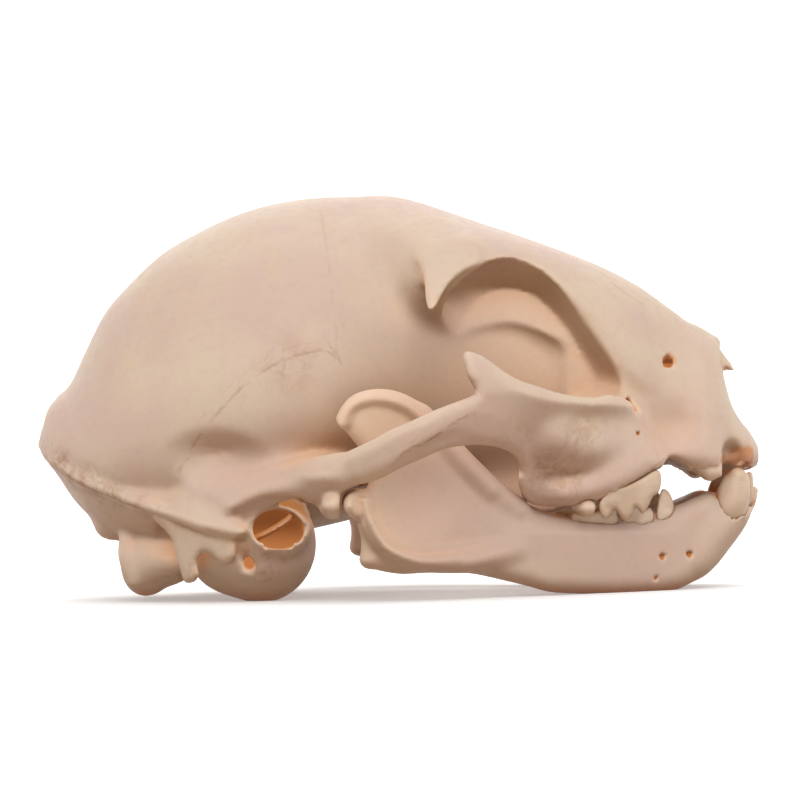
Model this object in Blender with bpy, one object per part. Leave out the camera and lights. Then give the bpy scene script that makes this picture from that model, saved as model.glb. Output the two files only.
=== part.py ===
"""A wild cat's skull: the cranium, the two halves of the lower jaw and the teeth that are left in them.

Each bone is modelled like clay. Bodies, rods, plates and balls are added to a block of sampled distances
with soft joins, hollows are cut out of it, and its surface becomes the mesh. Shapes are in millimetres:
X runs from the nape (low) to the muzzle (high), Y to the animal's left, Z up. The left half is modelled,
and the right half mirrors it. The tables draw the skull as it looks from its side, from near by and a little
behind. At the end each point is moved from there to its true place, and the skull is pitched so that it rests
on its ear bulbs and jaws.
"""
import copy
import math

import bpy
import numpy as np

# Driving sizes, in millimetres
REST_SNAP = 0.1
MIDDLE_X = 0.18
REST_POINTS = ((-17.2, 12.2, 0.0), (25.0, 12.5, 0.97))
VIEW_DISTANCE = 600.0
VIEW_HEIGHT = 25.0
VIEW_TURN = 2.0
BRAINCASE_WALL = 1.9
BULB_WALL = 1.2
SOCKET_GAP = 0.45
JAW_JOINT_GAP = 0.85
HALF_CHIN_GAP = 0.2
BONE_STEP = 0.5
JAW_STEP = 0.4
TOOTH_STEP = 0.2
CRANIUM_FACES = 6000
JAW_FACES = 1150
FAR = 9.0

# Cross-sections along X: place, top, bottom, half width, height of the widest line
CORE = (
    (-44.9, 20.9, 19.6, 1.2, 20.2),
    (-44.2, 23.3, 17.6, 4.6, 19.8),
    (-43.0, 25.2, 15.9, 8.0, 19.0),
    (-41.2, 27.0, 13.2, 10.6, 18.6),
    (-39.5, 30.6, 10.6, 12.4, 18.6),
    (-37.0, 35.6, 7.6, 14.6, 19.2),
    (-34.0, 39.2, 6.0, 16.6, 20.4),
    (-30.0, 43.0, 4.8, 18.5, 22.0),
    (-25.0, 46.0, 5.2, 20.2, 23.5),
    (-20.0, 48.25, 6.6, 21.2, 24.8),
    (-14.0, 49.8, 8.2, 21.5, 26.0),
    (-8.0, 50.35, 9.6, 20.7, 27.0),
    (-4.0, 50.2, 10.6, 19.0, 28.0),
    (0.0, 49.5, 11.4, 16.4, 29.5),
    (4.0, 47.9, 12.2, 13.0, 31.0),
    (8.0, 46.2, 12.8, 10.6, 31.0),
    (12.0, 44.8, 13.0, 9.4, 30.0),
    (17.0, 43.1, 13.4, 8.8, 28.0),
    (22.0, 41.2, 13.8, 9.0, 27.0),
    (28.0, 38.2, 15.2, 9.2, 26.0),
    (34.0, 34.0, 17.6, 8.0, 25.0),
    (38.0, 30.4, 17.0, 7.0, 23.5),
)
FOREHEAD = (
    (-9.0, 45.5, 39.0, 6.0, 42.0),
    (-5.0, 48.8, 37.0, 12.4, 42.3),
    (-2.0, 49.8, 35.0, 14.8, 42.0),
    (2.0, 49.4, 33.0, 16.6, 41.2),
    (6.0, 48.3, 33.0, 17.4, 41.0),
    (10.0, 47.0, 34.0, 16.4, 41.2),
    (14.0, 45.7, 34.0, 14.8, 40.6),
    (18.0, 44.3, 32.0, 13.4, 39.0),
    (22.0, 42.8, 29.0, 12.8, 36.5),
    (25.0, 41.6, 27.0, 13.2, 33.5),
    (28.0, 40.1, 25.0, 13.2, 30.0),
    (30.5, 38.4, 24.5, 11.8, 27.5),
    (33.5, 34.5, 25.0, 8.5, 27.0),
)
MUZZLE = (
    (21.0, 40.6, 17.0, 12.2, 30.0),
    (24.0, 40.2, 14.8, 13.6, 27.5),
    (27.0, 39.4, 15.2, 13.5, 25.0),
    (30.0, 38.4, 16.2, 12.2, 22.5),
    (33.0, 36.8, 17.6, 10.7, 21.0),
    (36.0, 34.6, 16.5, 10.3, 21.0),
    (38.5, 33.1, 16.4, 10.2, 21.0),
    (39.6, 31.9, 16.4, 9.5, 20.8),
    (40.3, 28.6, 16.4, 8.8, 20.4),
    (41.2, 25.1, 16.3, 7.9, 20.4),
    (42.4, 22.6, 16.2, 6.8, 19.8),
    (43.6, 21.1, 16.3, 5.4, 18.9),
    (44.7, 19.2, 16.9, 2.6, 18.2),
)
# Closed outlines in the side view, as X and Z
BROW = (
    (2.4, 43.8), (2.7, 41.6), (3.0, 39.8), (3.1, 38.2), (3.3, 36.8), (3.7, 36.0), (4.3, 36.5), (5.1, 38.0),
    (6.1, 39.5), (7.6, 41.0), (9.6, 42.3), (8.4, 45.2),
)
ORBIT = (
    (5.2, 36.3), (5.9, 38.0), (6.9, 39.3), (8.5, 40.9), (10.4, 42.0), (12.5, 42.5), (15.0, 42.5),
    (17.3, 41.9), (19.0, 40.8), (20.6, 39.0), (22.3, 36.6), (23.8, 34.1), (25.3, 31.6), (26.7, 29.3),
    (27.7, 27.4), (27.8, 25.9), (26.5, 24.6), (23.0, 23.2), (19.5, 22.4), (16.8, 20.5), (15.4, 17.5),
    (14.6, 13.0), (14.0, 8.0), (4.0, 8.0), (2.5, 20.0), (3.5, 30.0),
)
ARCH = (
    (7.9, 31.0), (10.1, 30.5), (12.4, 28.9), (14.5, 27.6), (16.8, 26.8), (20.0, 25.8), (23.8, 25.3),
    (26.5, 25.6), (30.0, 23.8), (31.9, 20.0), (31.9, 17.5), (28.1, 15.3), (25.5, 14.0), (23.6, 12.4),
    (21.6, 11.7), (18.0, 12.0), (16.1, 12.4), (15.0, 13.6), (14.6, 15.2), (14.8, 16.6), (14.1, 18.1),
    (12.4, 19.0), (10.1, 19.4), (7.9, 19.3), (5.6, 18.9), (3.4, 18.0), (0.0, 16.5), (-2.3, 15.3),
    (-4.4, 14.6), (-6.3, 14.2), (-7.6, 12.4), (-7.8, 10.3), (-9.3, 11.1), (-10.3, 11.9), (-12.5, 12.9),
    (-11.8, 16.0), (-10.0, 16.5),
    (-7.8, 18.0), (-5.5, 19.1), (-3.4, 20.1), (-1.1, 21.4), (1.1, 22.3), (3.4, 23.4), (5.6, 24.3),
    (9.0, 25.6), (9.2, 26.4), (8.2, 28.3),
)
JAW = (
    (-8.2, 22.4), (-7.9, 23.6), (-6.9, 24.8), (-5.5, 25.7), (-3.3, 26.3), (-1.1, 26.2), (1.1, 25.3),
    (3.4, 23.7), (5.6, 20.9), (7.4, 18.6), (9.0, 16.9), (11.2, 14.7), (13.4, 13.3), (15.6, 12.2),
    (18.1, 11.1), (21.9, 10.4), (25.0, 10.3), (28.8, 10.7), (31.9, 11.2), (33.5, 11.7), (35.0, 12.1),
    (36.5, 12.8), (38.0, 13.5), (39.2, 13.4), (40.4, 12.2), (42.2, 11.3), (43.4, 11.5), (44.2, 12.0),
    (44.0, 11.5), (43.1, 10.0), (42.5, 8.9), (41.0, 6.9), (39.5, 4.8), (38.0, 3.4), (36.5, 2.4),
    (35.0, 1.6), (33.5, 1.2), (32.0, 1.0), (27.5, 0.8), (24.5, 0.8), (21.5, 0.9), (18.5, 1.1),
    (15.5, 1.9), (12.5, 2.6), (9.5, 3.2), (6.5, 3.6), (3.5, 3.4), (0.5, 3.1), (-2.1, 3.4), (-3.4, 3.8),
    (-4.4, 4.3), (-4.9, 5.1), (-4.5, 6.4), (-4.5, 7.9), (-5.1, 9.3), (-5.6, 10.8), (-5.4, 12.5),
    (-4.6, 14.0), (-4.4, 16.3), (-5.5, 18.7), (-6.9, 20.6),
)
WING = (
    (22.5, 13.2), (20.5, 11.5), (17.5, 10.7), (13.0, 10.7), (8.0, 10.6), (2.0, 9.6), (-2.5, 7.2),
    (-3.6, 7.8), (-1.6, 11.0), (-4.0, 13.5), (-2.0, 17.0), (20.0, 17.0),
)
EAR_FLANGE = (
    (-30.6, 10.2), (-29.4, 8.9), (-28.4, 7.4), (-27.8, 5.6), (-27.3, 3.8), (-26.8, 2.4), (-25.9, 2.4),
    (-25.3, 3.1), (-25.5, 4.6), (-25.0, 5.8), (-24.4, 6.1), (-23.5, 5.7), (-22.6, 4.9), (-21.8, 4.7),
    (-21.0, 5.2), (-20.5, 6.4), (-20.2, 7.6), (-20.0, 8.9), (-21.9, 10.4), (-25.0, 11.4), (-28.1, 11.8),
    (-30.2, 11.5),
)
# Outer face of the cheek arch and middle of the jaw half, as X and Y
ARCH_OUTSIDE = (
    (-12.5, 20.8), (-10.0, 24.4), (-8.0, 27.2), (-5.0, 29.8), (-2.0, 31.1), (2.0, 31.6), (6.0, 31.2),
    (10.0, 29.9), (14.0, 27.2), (18.0, 23.4), (22.0, 19.2), (26.0, 15.6), (30.0, 12.5), (32.0, 11.0),
)
JAW_MIDDLE = (
    (-8.0, 24.3), (-2.0, 24.1), (2.0, 23.3), (6.0, 21.7), (10.0, 19.6), (14.0, 17.6), (18.0, 15.8),
    (22.0, 14.0), (26.0, 12.1), (30.0, 9.9), (34.0, 7.5), (37.0, 5.7), (40.0, 4.3), (44.5, 2.5),
)
JAW_HALF_THICKNESS = (
    (-8.0, 0.95), (4.0, 1.0), (9.0, 1.6), (14.0, 2.2), (30.0, 2.3), (36.0, 2.8), (44.5, 2.4),
)

BONE = (0.80, 0.69, 0.60, 1.0)
ENAMEL = (0.86, 0.78, 0.68, 1.0)
BONE_ROUGHNESS = 0.55
ENAMEL_ROUGHNESS = 0.35


def curve(at, points):
    """A smooth line through the points, which are pairs of place and value, read at the given places."""
    places, values = np.array(points, float).T
    slopes = np.gradient(values, places)
    span = np.clip(np.searchsorted(places, at) - 1, 0, len(places) - 2)
    width = places[span + 1] - places[span]
    t = np.clip((at - places[span]) / width, 0, 1)
    start = (1 + 2 * t) * (1 - t) ** 2 * values[span] + t * (1 - t) ** 2 * width * slopes[span]
    end = t * t * (3 - 2 * t) * values[span + 1] + t * t * (t - 1) * width * slopes[span + 1]
    return start + end


def round_line(points, closed, pieces=4):
    """The points with a smooth curve drawn through them."""
    points = np.array(points, float)
    count = len(points)
    spans = count if closed else count - 1
    made = []
    for i in range(spans):
        near = [(i + k) % count if closed else min(max(i + k, 0), count - 1) for k in (-1, 0, 1, 2)]
        a, b, c, d = points[near]
        for t in np.arange(pieces) / pieces:
            made.append(b + 0.5 * t * (c - a + t * (2 * a - 5 * b + 4 * c - d + t * (3 * (b - c) + d - a))))
    if not closed:
        made.append(points[-1])
    return np.array(made)


def soft_min(a, b, blend):
    """The smaller of two distances, with a fillet about as wide as blend where they meet."""
    overlap = np.maximum(blend - np.abs(a - b), 0.0) / blend
    return np.minimum(a, b) - overlap * overlap * blend * 0.25


def soft_max(a, b, blend):
    """The larger of two distances, with a fillet about as wide as blend where they meet."""
    return -soft_min(-a, -b, blend)


class Shape:
    """A signed distance, negative inside, and the box that holds the shape."""

    def __init__(self, distance, low, high):
        self.distance = distance
        self.low = np.array(low, float)
        self.high = np.array(high, float)


def ball(centre, radii, pitch=0.0, yaw=0.0):
    """An ellipsoid, its front raised by pitch and swung outward by yaw, in degrees."""
    up, out = math.radians(pitch), math.radians(yaw)

    def distance(x, y, z):
        x, y, z = x - centre[0], y - centre[1], z - centre[2]
        x, y = x * math.cos(out) + y * math.sin(out), y * math.cos(out) - x * math.sin(out)
        x, z = x * math.cos(up) + z * math.sin(up), z * math.cos(up) - x * math.sin(up)
        near = np.sqrt((x / radii[0]) ** 2 + (y / radii[1]) ** 2 + (z / radii[2]) ** 2) + 1e-6
        steep = np.sqrt((x / radii[0] ** 2) ** 2 + (y / radii[1] ** 2) ** 2 + (z / radii[2] ** 2) ** 2)
        return near * (near - 1) / (steep + 1e-6)

    reach = max(radii)
    return Shape(distance, np.array(centre) - reach, np.array(centre) + reach)


def rod(points, flat=(1.0, 1.0, 1.0)):
    """A round bar along a smooth line of points with radii, its section stretched by flat along each axis."""
    line = np.array(points, float)
    if len(line) > 2:
        longest = np.sqrt((np.diff(line, axis=0) ** 2).sum(1)).max()
        line = round_line(line, False, max(4, math.ceil(longest / 0.7)))
    flat = np.array(flat, float)
    joints = line[:, :3] / flat

    def distance(x, y, z):
        nearest = None
        for a, b, ra, rb in zip(joints, joints[1:], line[:, 3], line[1:, 3]):
            along = b - a
            px, py, pz = x / flat[0] - a[0], y / flat[1] - a[1], z / flat[2] - a[2]
            t = np.clip((px * along[0] + py * along[1] + pz * along[2]) / (along @ along), 0, 1)
            gone = (px - t * along[0]) ** 2 + (py - t * along[1]) ** 2 + (pz - t * along[2]) ** 2
            found = np.sqrt(gone) - ra - (rb - ra) * t
            nearest = found if nearest is None else np.minimum(nearest, found)
        return nearest * flat.min()

    reach = line[:, 3].max() * flat
    return Shape(distance, line[:, :3].min(0) - reach, line[:, :3].max(0) + reach)


def body(sections, power=2.1):
    """A body given by its cross-sections along X."""
    rows = np.array(sections, float)

    def distance(x, y, z):
        top, bottom, width, widest = (curve(x, rows[:, (0, k)]) for k in (1, 2, 3, 4))
        rise = np.where(z > widest, np.maximum(top - widest, 0.1), np.maximum(widest - bottom, 0.1))
        across, up = np.abs(y) / np.maximum(width, 0.1), np.abs(z - widest) / rise
        share = (across**power + up**power) ** (1 / power) + 1e-6
        reach = np.sqrt(y * y + (z - widest) ** 2) + 1e-6
        found = reach - reach / share
        return np.maximum(found, np.maximum(rows[0, 0] - x, x - rows[-1, 0]))

    wide = rows[:, 3].max()
    return Shape(distance, (rows[0, 0], -wide, rows[:, 2].min()), (rows[-1, 0], wide, rows[:, 1].max()))


def outline_distance(outline, x, z):
    """Distance in the side view from a closed outline, negative inside it."""
    line = round_line(outline, True)
    square = np.full(np.broadcast(x, z).shape, 1e6, np.float32)
    inside = np.zeros(square.shape, bool)
    for (x0, z0), (x1, z1) in zip(line, np.roll(line, -1, 0)):
        run, rise = x1 - x0, z1 - z0
        t = np.clip(((x - x0) * run + (z - z0) * rise) / (run * run + rise * rise + 1e-9), 0, 1)
        square = np.minimum(square, (x - x0 - t * run) ** 2 + (z - z0 - t * rise) ** 2)
        if rise:
            inside ^= ((z0 <= z) != (z1 <= z)) & (x < x0 + (z - z0) * run / rise)
    return np.where(inside, -1, 1) * np.sqrt(square)


def plate(outline, middle, half, rounding, gap=0.0):
    """A sheet with that side outline swollen by gap, about the surface y = middle(x, z), with round edges."""

    def distance(x, y, z):
        side = outline_distance(outline, x, z) - gap
        return soft_max(side, np.abs(y - middle(x, z)) - half(x, z), rounding)

    corners = np.array(outline, float)
    (low_x, low_z), (high_x, high_z) = corners.min(0) - gap, corners.max(0) + gap
    across = middle(corners[:, 0], corners[:, 1])
    thick = half(corners[:, 0], corners[:, 1]).max() + 0.5
    return Shape(distance, (low_x, across.min() - thick, low_z), (high_x, across.max() + thick, high_z))


class Clay:
    """A block of distances on a grid. Its left half is kept, and mirrored when the block is two-sided."""

    def __init__(self, low, high, step):
        self.step = step
        first = [round(v / step) * step for v in low]
        first[1] += step / 2
        counts = [int(math.ceil((h - a) / step)) + 1 for a, h in zip(first, high)]
        self.axes = [a + step * np.arange(n) for a, n in zip(first, counts)]
        self.field = np.full(counts, FAR, np.float32)

    def window(self, shape, blend):
        """The slices of the block that the shape can change, and their coordinates."""
        pad = blend + 2 * self.step
        part = []
        for axis, low, high in zip(self.axes, shape.low - pad, shape.high + pad):
            part.append(slice(int(np.searchsorted(axis, low)), int(np.searchsorted(axis, high))))
        x, y, z = (axis[span].astype(np.float32) for axis, span in zip(self.axes, part))
        return tuple(part), (x[:, None, None], y[None, :, None], z[None, None, :])

    def sample(self, shape, blend, even):
        """The shape's distances in its window. Even ones are scaled to a slope of at most 1."""
        part, (x, y, z) = self.window(shape, blend)
        found = np.broadcast_to(shape.distance(x, y, z), self.field[part].shape)
        if even:
            slopes = np.gradient(found, self.step)
            found = found / np.maximum(np.sqrt(sum(s * s for s in slopes)), 1)
        return part, found

    def add(self, shape, blend=1.0, even=False):
        """Joins the shape on with a fillet."""
        part, found = self.sample(shape, blend, even)
        self.field[part] = soft_min(self.field[part], found, blend)

    def cut(self, shape, blend=0.5, even=False):
        """Cuts the shape out, with the rim of the hole rounded."""
        part, found = self.sample(shape, blend, even)
        self.field[part] = soft_max(self.field[part], -found, blend)

    def unfolded(self):
        """The left half together with its mirror image."""
        whole = copy.copy(self)
        whole.axes = [self.axes[0], np.concatenate([-self.axes[1][::-1], self.axes[1]]), self.axes[2]]
        whole.field = np.concatenate([self.field[:, ::-1], self.field], axis=1)
        return whole


def untangle(field):
    """Fills the few grid corners where the surface would touch itself, so that the mesh is closed."""
    for _ in range(12):
        inside = field < 0
        bad = []
        for a, b in ((0, 1), (0, 2), (1, 2)):
            corner = [shifted(inside, {a: i, b: j}) for i, j in ((0, 0), (1, 0), (1, 1), (0, 1))]
            crossed = (corner[0] == corner[2]) & (corner[1] == corner[3]) & (corner[0] != corner[1])
            for i, j in ((0, 0), (1, 0), (1, 1), (0, 1)):
                spots = np.argwhere(crossed) + np.eye(3, dtype=int)[a] * i + np.eye(3, dtype=int)[b] * j
                bad.append(spots)
        count = sum(shifted(inside, dict(enumerate(c))).astype(np.int8) for c in np.ndindex(2, 2, 2))
        for c in ((0, 0, 0), (1, 0, 0), (0, 1, 0), (0, 0, 1)):
            far = tuple(1 - k for k in c)
            one, other = shifted(inside, dict(enumerate(c))), shifted(inside, dict(enumerate(far)))
            lonely = ((count == 2) & one & other) | ((count == 6) & ~one & ~other)
            for corner in (c, far, (c[0], c[1], far[2]), (far[0], c[1], c[2])):
                bad.append(np.argwhere(lonely) + np.array(corner))
        spots = np.concatenate(bad)
        if not len(spots):
            break
        spots = tuple(spots.T)
        field[spots] = np.minimum(field[spots], -1e-3)
    return field


def shifted(block, moves):
    """The block without its last layer, or without its first where moves says 1, along each axis."""
    parts = [slice(None)] * 3
    for axis, move in moves.items():
        parts[axis] = slice(1, None) if move else slice(None, -1)
    return block[tuple(parts)]


def skin(clay):
    """The closed surface of the clay, as points and four-sided faces."""
    low = [axis[0] for axis in clay.axes]
    field = np.pad(untangle(clay.field), 1, constant_values=FAR)
    inside = field < 0
    count = sum(shifted(inside, dict(enumerate(c))).astype(np.int8) for c in np.ndindex(2, 2, 2))
    mixed = (count > 0) & (count < 8)
    number = np.full(mixed.shape, -1)
    number[mixed] = np.arange(mixed.sum())
    cells = np.argwhere(mixed)
    total, hits = np.zeros((len(cells), 3)), np.zeros(len(cells))
    faces = []
    for axis in range(3):
        b, c = (axis + 1) % 3, (axis + 2) % 3
        along, right, up = np.eye(3, dtype=int)[[axis, b, c]]
        for i, j in ((0, 0), (1, 0), (0, 1), (1, 1)):
            start = cells + right * i + up * j
            near, far = field[tuple(start.T)], field[tuple((start + along).T)]
            crosses = (near < 0) != (far < 0)
            share = np.where(crosses, near / np.where(crosses, near - far, 1), 0)
            total += (start + share[:, None] * along) * crosses[:, None]
            hits += crosses
        enters = shifted(inside, {axis: 0}) != shifted(inside, {axis: 1})
        edges = np.argwhere(enters)
        ring = [number[tuple((edges - right * i - up * j).T)] for i, j in ((1, 1), (0, 1), (0, 0), (1, 0))]
        quads = np.stack(ring, 1)
        outward = inside[tuple(edges.T)]
        faces.append(np.where(outward[:, None], quads, quads[:, ::-1]))
    points = np.array(low) + clay.step * (total / hits[:, None] - 1)
    return main_island(points, np.concatenate(faces))


def main_island(points, faces):
    """The largest connected piece of the surface, without stray specks and sealed bubbles."""
    label = np.arange(len(points))
    settled = False
    while not settled:
        lowest = label.copy()
        np.minimum.at(lowest, faces.ravel(), np.repeat(label[faces].min(1), 4))
        lowest = lowest[lowest]
        settled = bool((lowest == label).all())
        label = lowest
    keep = label == np.bincount(label).argmax()
    number = np.cumsum(keep) - 1
    return points[keep], number[faces[keep[faces[:, 0]]]]


def true_places(points):
    """Moves points from where the side view draws them to where they are."""
    x, y, z = np.array(points, float).T
    turn = math.radians(VIEW_TURN)
    out = np.sqrt(y * y + 4) - 2
    share = (VIEW_DISTANCE + x * math.sin(turn) - out) / VIEW_DISTANCE
    true_x = (x * share - out * math.sin(turn)) / math.cos(turn)
    return np.stack([true_x, y, VIEW_HEIGHT + (z - VIEW_HEIGHT) * share], 1)


def pitched(points):
    """Points in metres, pitched so that the two resting points are level and at height 0."""
    (x0, _, z0), (x1, _, z1) = true_places(REST_POINTS)
    angle = math.atan2(z1 - z0, x1 - x0)
    x, y, z = np.array(points, float).T
    turned_x = x * math.cos(angle) + z * math.sin(angle) - MIDDLE_X
    turned_z = (z - z0) * math.cos(angle) - (x - x0) * math.sin(angle)
    return np.stack([turned_x, y, turned_z], 1) / 1000


def placed(points):
    """Points in metres in the skull's resting place, its ear bulbs and jaws on the ground."""
    return pitched(true_places(points))


def finish(name, points, faces, target, material, mirrored=False):
    """A named object with that mesh, thinned to about the target count of triangles, flat where it rests."""
    dense = bpy.data.meshes.new(name + "_dense")
    dense.from_pydata(placed(points), [], faces.tolist())
    piece = bpy.data.objects.new(name, dense)
    bpy.context.scene.collection.objects.link(piece)
    thin = piece.modifiers.new("Thin", "DECIMATE")
    thin.ratio = target / (2 * len(faces))
    thin.use_symmetry = mirrored
    thin.symmetry_axis = "Y"
    evaluated = piece.evaluated_get(bpy.context.evaluated_depsgraph_get())
    mesh = bpy.data.meshes.new_from_object(evaluated)
    mesh.name = name
    for vertex in mesh.vertices:
        if vertex.co.z < REST_SNAP / 1000:
            vertex.co.z = 0.0
    mesh.materials.clear()
    mesh.materials.append(material)
    mesh.shade_smooth()
    piece.modifiers.clear()
    piece.data = mesh
    bpy.data.meshes.remove(dense)


def finish_pair(name, clay, target, material):
    """The left piece and its mirror image on the right."""
    points, faces = skin(clay)
    finish(name + "_left", points, faces, target, material)
    finish(name + "_right", points * (1, -1, 1), faces[:, ::-1], target, material)


def surface(name, colour, roughness):
    material = bpy.data.materials.new(name)
    material.use_nodes = True
    shader = material.node_tree.nodes["Principled BSDF"]
    shader.inputs["Base Color"].default_value = colour
    shader.inputs["Roughness"].default_value = roughness
    shader.inputs["Metallic"].default_value = 0.0
    return material


class Tooth:
    """A tooth: blades as side outline, middle line, half thickness at the edge and at the gum; and rods."""

    def __init__(self, blades=(), rods=(), faces=60):
        self.blades = blades
        self.rods = rods
        self.faces = faces

    def shapes(self, gap=0.0):
        """The tooth's shapes, swollen by the gap."""
        for outline, middle, (edge_z, edge, gum_z, gum) in self.blades:

            def across(x, z, middle=middle):
                return curve(x, middle)

            def half(x, z, low=edge_z, thin=edge, high=gum_z, thick=gum):
                share = np.clip((z - low) / (high - low), 0, 1)
                return thin + (thick - thin) * np.sqrt(share) + gap

            yield plate(outline, across, half, 0.7, gap)
        for line in self.rods:
            yield rod([(x, y, z, r + gap) for x, y, z, r in line])


CARNASSIAL_OUTLINE = (
    (24.8, 12.4), (26.0, 13.9), (28.1, 14.4), (30.0, 15.3), (32.0, 16.3), (32.5, 15.2), (32.2, 13.6),
    (31.4, 12.9), (30.8, 11.6), (30.1, 10.8), (29.6, 11.4), (29.2, 11.6), (28.8, 10.6), (28.1, 9.9),
    (27.4, 10.4), (26.7, 11.3), (26.1, 10.5), (25.5, 10.1), (25.0, 10.6), (24.7, 11.6),
)
MOLAR_OUTLINE = (
    (21.2, 10.4), (20.9, 8.9), (21.6, 8.2), (24.0, 7.9), (26.6, 8.0), (27.2, 8.8), (27.0, 10.6),
    (26.6, 12.0), (25.8, 12.9), (25.0, 12.3), (24.3, 11.3), (23.4, 12.2), (22.7, 12.6), (21.8, 11.8),
)
REAR_PREMOLAR_OUTLINE = (
    (27.7, 10.4), (27.6, 8.8), (28.6, 8.2), (30.6, 8.4), (31.4, 9.4), (31.5, 10.8), (31.0, 11.6),
    (30.4, 11.5), (29.9, 12.6), (29.3, 13.2), (28.8, 12.4), (28.4, 11.2),
)
FRONT_PREMOLAR_OUTLINE = (
    (31.9, 10.9), (32.1, 9.6), (33.2, 9.9), (34.0, 11.2), (33.9, 12.6), (33.3, 13.7), (32.6, 13.9),
    (32.2, 12.9),
)
UPPER_TEETH = {
    "upper_canine": Tooth(
        rods=(
            ((37.5, 9.3, 16.9, 1.2), (38.5, 9.1, 16.2, 1.3)),
            ((38.0, 9.0, 17.0, 1.3), (37.6, 7.9, 19.4, 1.2), (37.0, 7.0, 22.5, 0.8)),
            ((39.75, 8.7, 15.7, 0.3), (39.75, 8.8, 18.2, 0.35)),
        ),
        faces=90,
    ),
    "upper_carnassial": Tooth(
        blades=((CARNASSIAL_OUTLINE, ((24.5, 16.2), (28.0, 15.3), (32.5, 13.2)), (9.9, 0.4, 14.5, 1.3)),),
        rods=(
            ((26.0, 15.8, 12.6, 1.1), (26.1, 15.3, 15.0, 1.0), (26.3, 14.8, 17.5, 0.6)),
            ((31.0, 13.9, 14.8, 1.1), (30.7, 12.8, 17.0, 0.8), (30.4, 11.6, 19.0, 0.5)),
        ),
        faces=150,
    ),
    "upper_molar": Tooth(
        rods=(
            ((23.2, 17.2, 11.6, 1.1), (22.4, 15.8, 11.7, 1.1)),
            ((22.9, 16.6, 12.0, 0.9), (22.8, 16.0, 15.0, 0.6)),
        ),
        faces=60,
    ),
}
LOWER_TEETH = {
    "lower_canine": Tooth(
        rods=(
            (
                (42.0, 6.5, 15.5, 1.1),
                (41.7, 6.0, 13.6, 1.6),
                (41.3, 5.6, 12.0, 1.8),
                (40.4, 5.0, 10.2, 1.7),
                (38.2, 4.6, 7.0, 0.9),
            ),
            ((42.7, 6.1, 15.1, 0.8), (42.6, 5.8, 13.2, 0.9), (42.0, 5.4, 11.2, 1.1)),
            ((41.0, 6.1, 15.0, 0.8), (40.5, 5.8, 13.6, 1.0), (40.2, 5.5, 12.4, 1.0)),
        ),
        faces=100,
    ),
    "lower_front_premolar": Tooth(
        blades=((FRONT_PREMOLAR_OUTLINE, ((31.5, 9.5), (34.5, 8.3)), (14.0, 0.45, 11.0, 0.9)),),
        rods=(((33.0, 8.9, 10.8, 0.75), (32.8, 8.7, 8.0, 0.5)),),
        faces=60,
    ),
    "lower_rear_premolar": Tooth(
        blades=((REAR_PREMOLAR_OUTLINE, ((27.5, 11.4), (31.5, 9.7)), (13.3, 0.4, 10.0, 0.95)),),
        rods=(((29.6, 10.5, 9.8, 1.0), (29.5, 10.4, 6.4, 0.5)),),
        faces=80,
    ),
    "lower_molar": Tooth(
        blades=((MOLAR_OUTLINE, ((21.0, 14.2), (27.2, 11.7)), (12.9, 0.4, 9.8, 1.0)),),
        rods=(
            ((22.6, 13.5, 9.4, 0.9), (22.5, 13.4, 6.6, 0.5)),
            ((25.6, 12.3, 9.4, 0.9), (25.6, 12.2, 6.6, 0.5)),
        ),
        faces=110,
    ),
    "lower_inner_incisor": Tooth(
        rods=(((44.3, 0.8, 13.7, 0.4), (43.9, 0.8, 12.2, 0.5), (42.9, 0.95, 10.0, 0.4)),), faces=40
    ),
    "lower_middle_incisor": Tooth(
        rods=(((44.15, 2.0, 13.8, 0.42), (43.75, 2.0, 12.3, 0.5), (42.8, 2.0, 10.0, 0.4)),), faces=40
    ),
    "lower_outer_incisor": Tooth(
        rods=(((43.5, 3.6, 15.6, 0.45), (43.5, 3.3, 13.4, 0.5), (42.7, 3.0, 10.6, 0.35)),), faces=40
    ),
}


def tooth_clay(tooth, step):
    """One tooth, its crown and roots run together."""
    shapes = list(tooth.shapes())
    middles = [np.array(line)[:, :3] for line in tooth.rods]
    lows = [shape.low for shape in shapes] + [points.min(0) for points in middles]
    highs = [shape.high for shape in shapes] + [points.max(0) for points in middles]
    low, high = np.min(lows, 0) - 0.6, np.max(highs, 0) + 0.6
    clay = Clay(low, high, step)
    for shape in shapes:
        clay.add(shape, 0.5)
    return clay


def cut_sockets(clay, teeth, gap):
    """Cuts each tooth's shape out of the bone it stands in or near, with a gap all round."""
    for tooth in teeth.values():
        for shape in tooth.shapes(gap):
            clay.cut(shape, 0.2)


def jaw_condyle(swell=0.0):
    """The roller of the lower jaw, across the skull, that turns in the hollow under the cheek arch."""
    ends = (
        (-5.9, 17.8, 12.3, 1.3), (-5.7, 20.5, 12.3, 1.6), (-5.5, 24.0, 12.2, 1.8), (-5.4, 27.0, 11.9, 1.7),
    )
    return rod([(x, y, z, r + swell) for x, y, z, r in ends])


def cheek_arch():
    """The arch from the ear to the face, with the cheek below the eye."""

    def thickness(x, z):
        return curve(x, ((-12.0, 1.9), (-4.0, 1.5), (10.0, 1.5), (18.0, 1.9), (26.0, 2.4), (32.0, 2.0)))

    def middle(x, z):
        share = np.clip((x - 6.0) / 12.0, 0, 1)
        under = 0.022 * np.maximum(25.0 - z, 0) ** 2 * share * share * (3 - 2 * share)
        return curve(x, ARCH_OUTSIDE) - thickness(x, z) - 0.25 * np.maximum(z - 26.0, 0) - under

    return plate(ARCH, middle, thickness, 2.2)


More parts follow.
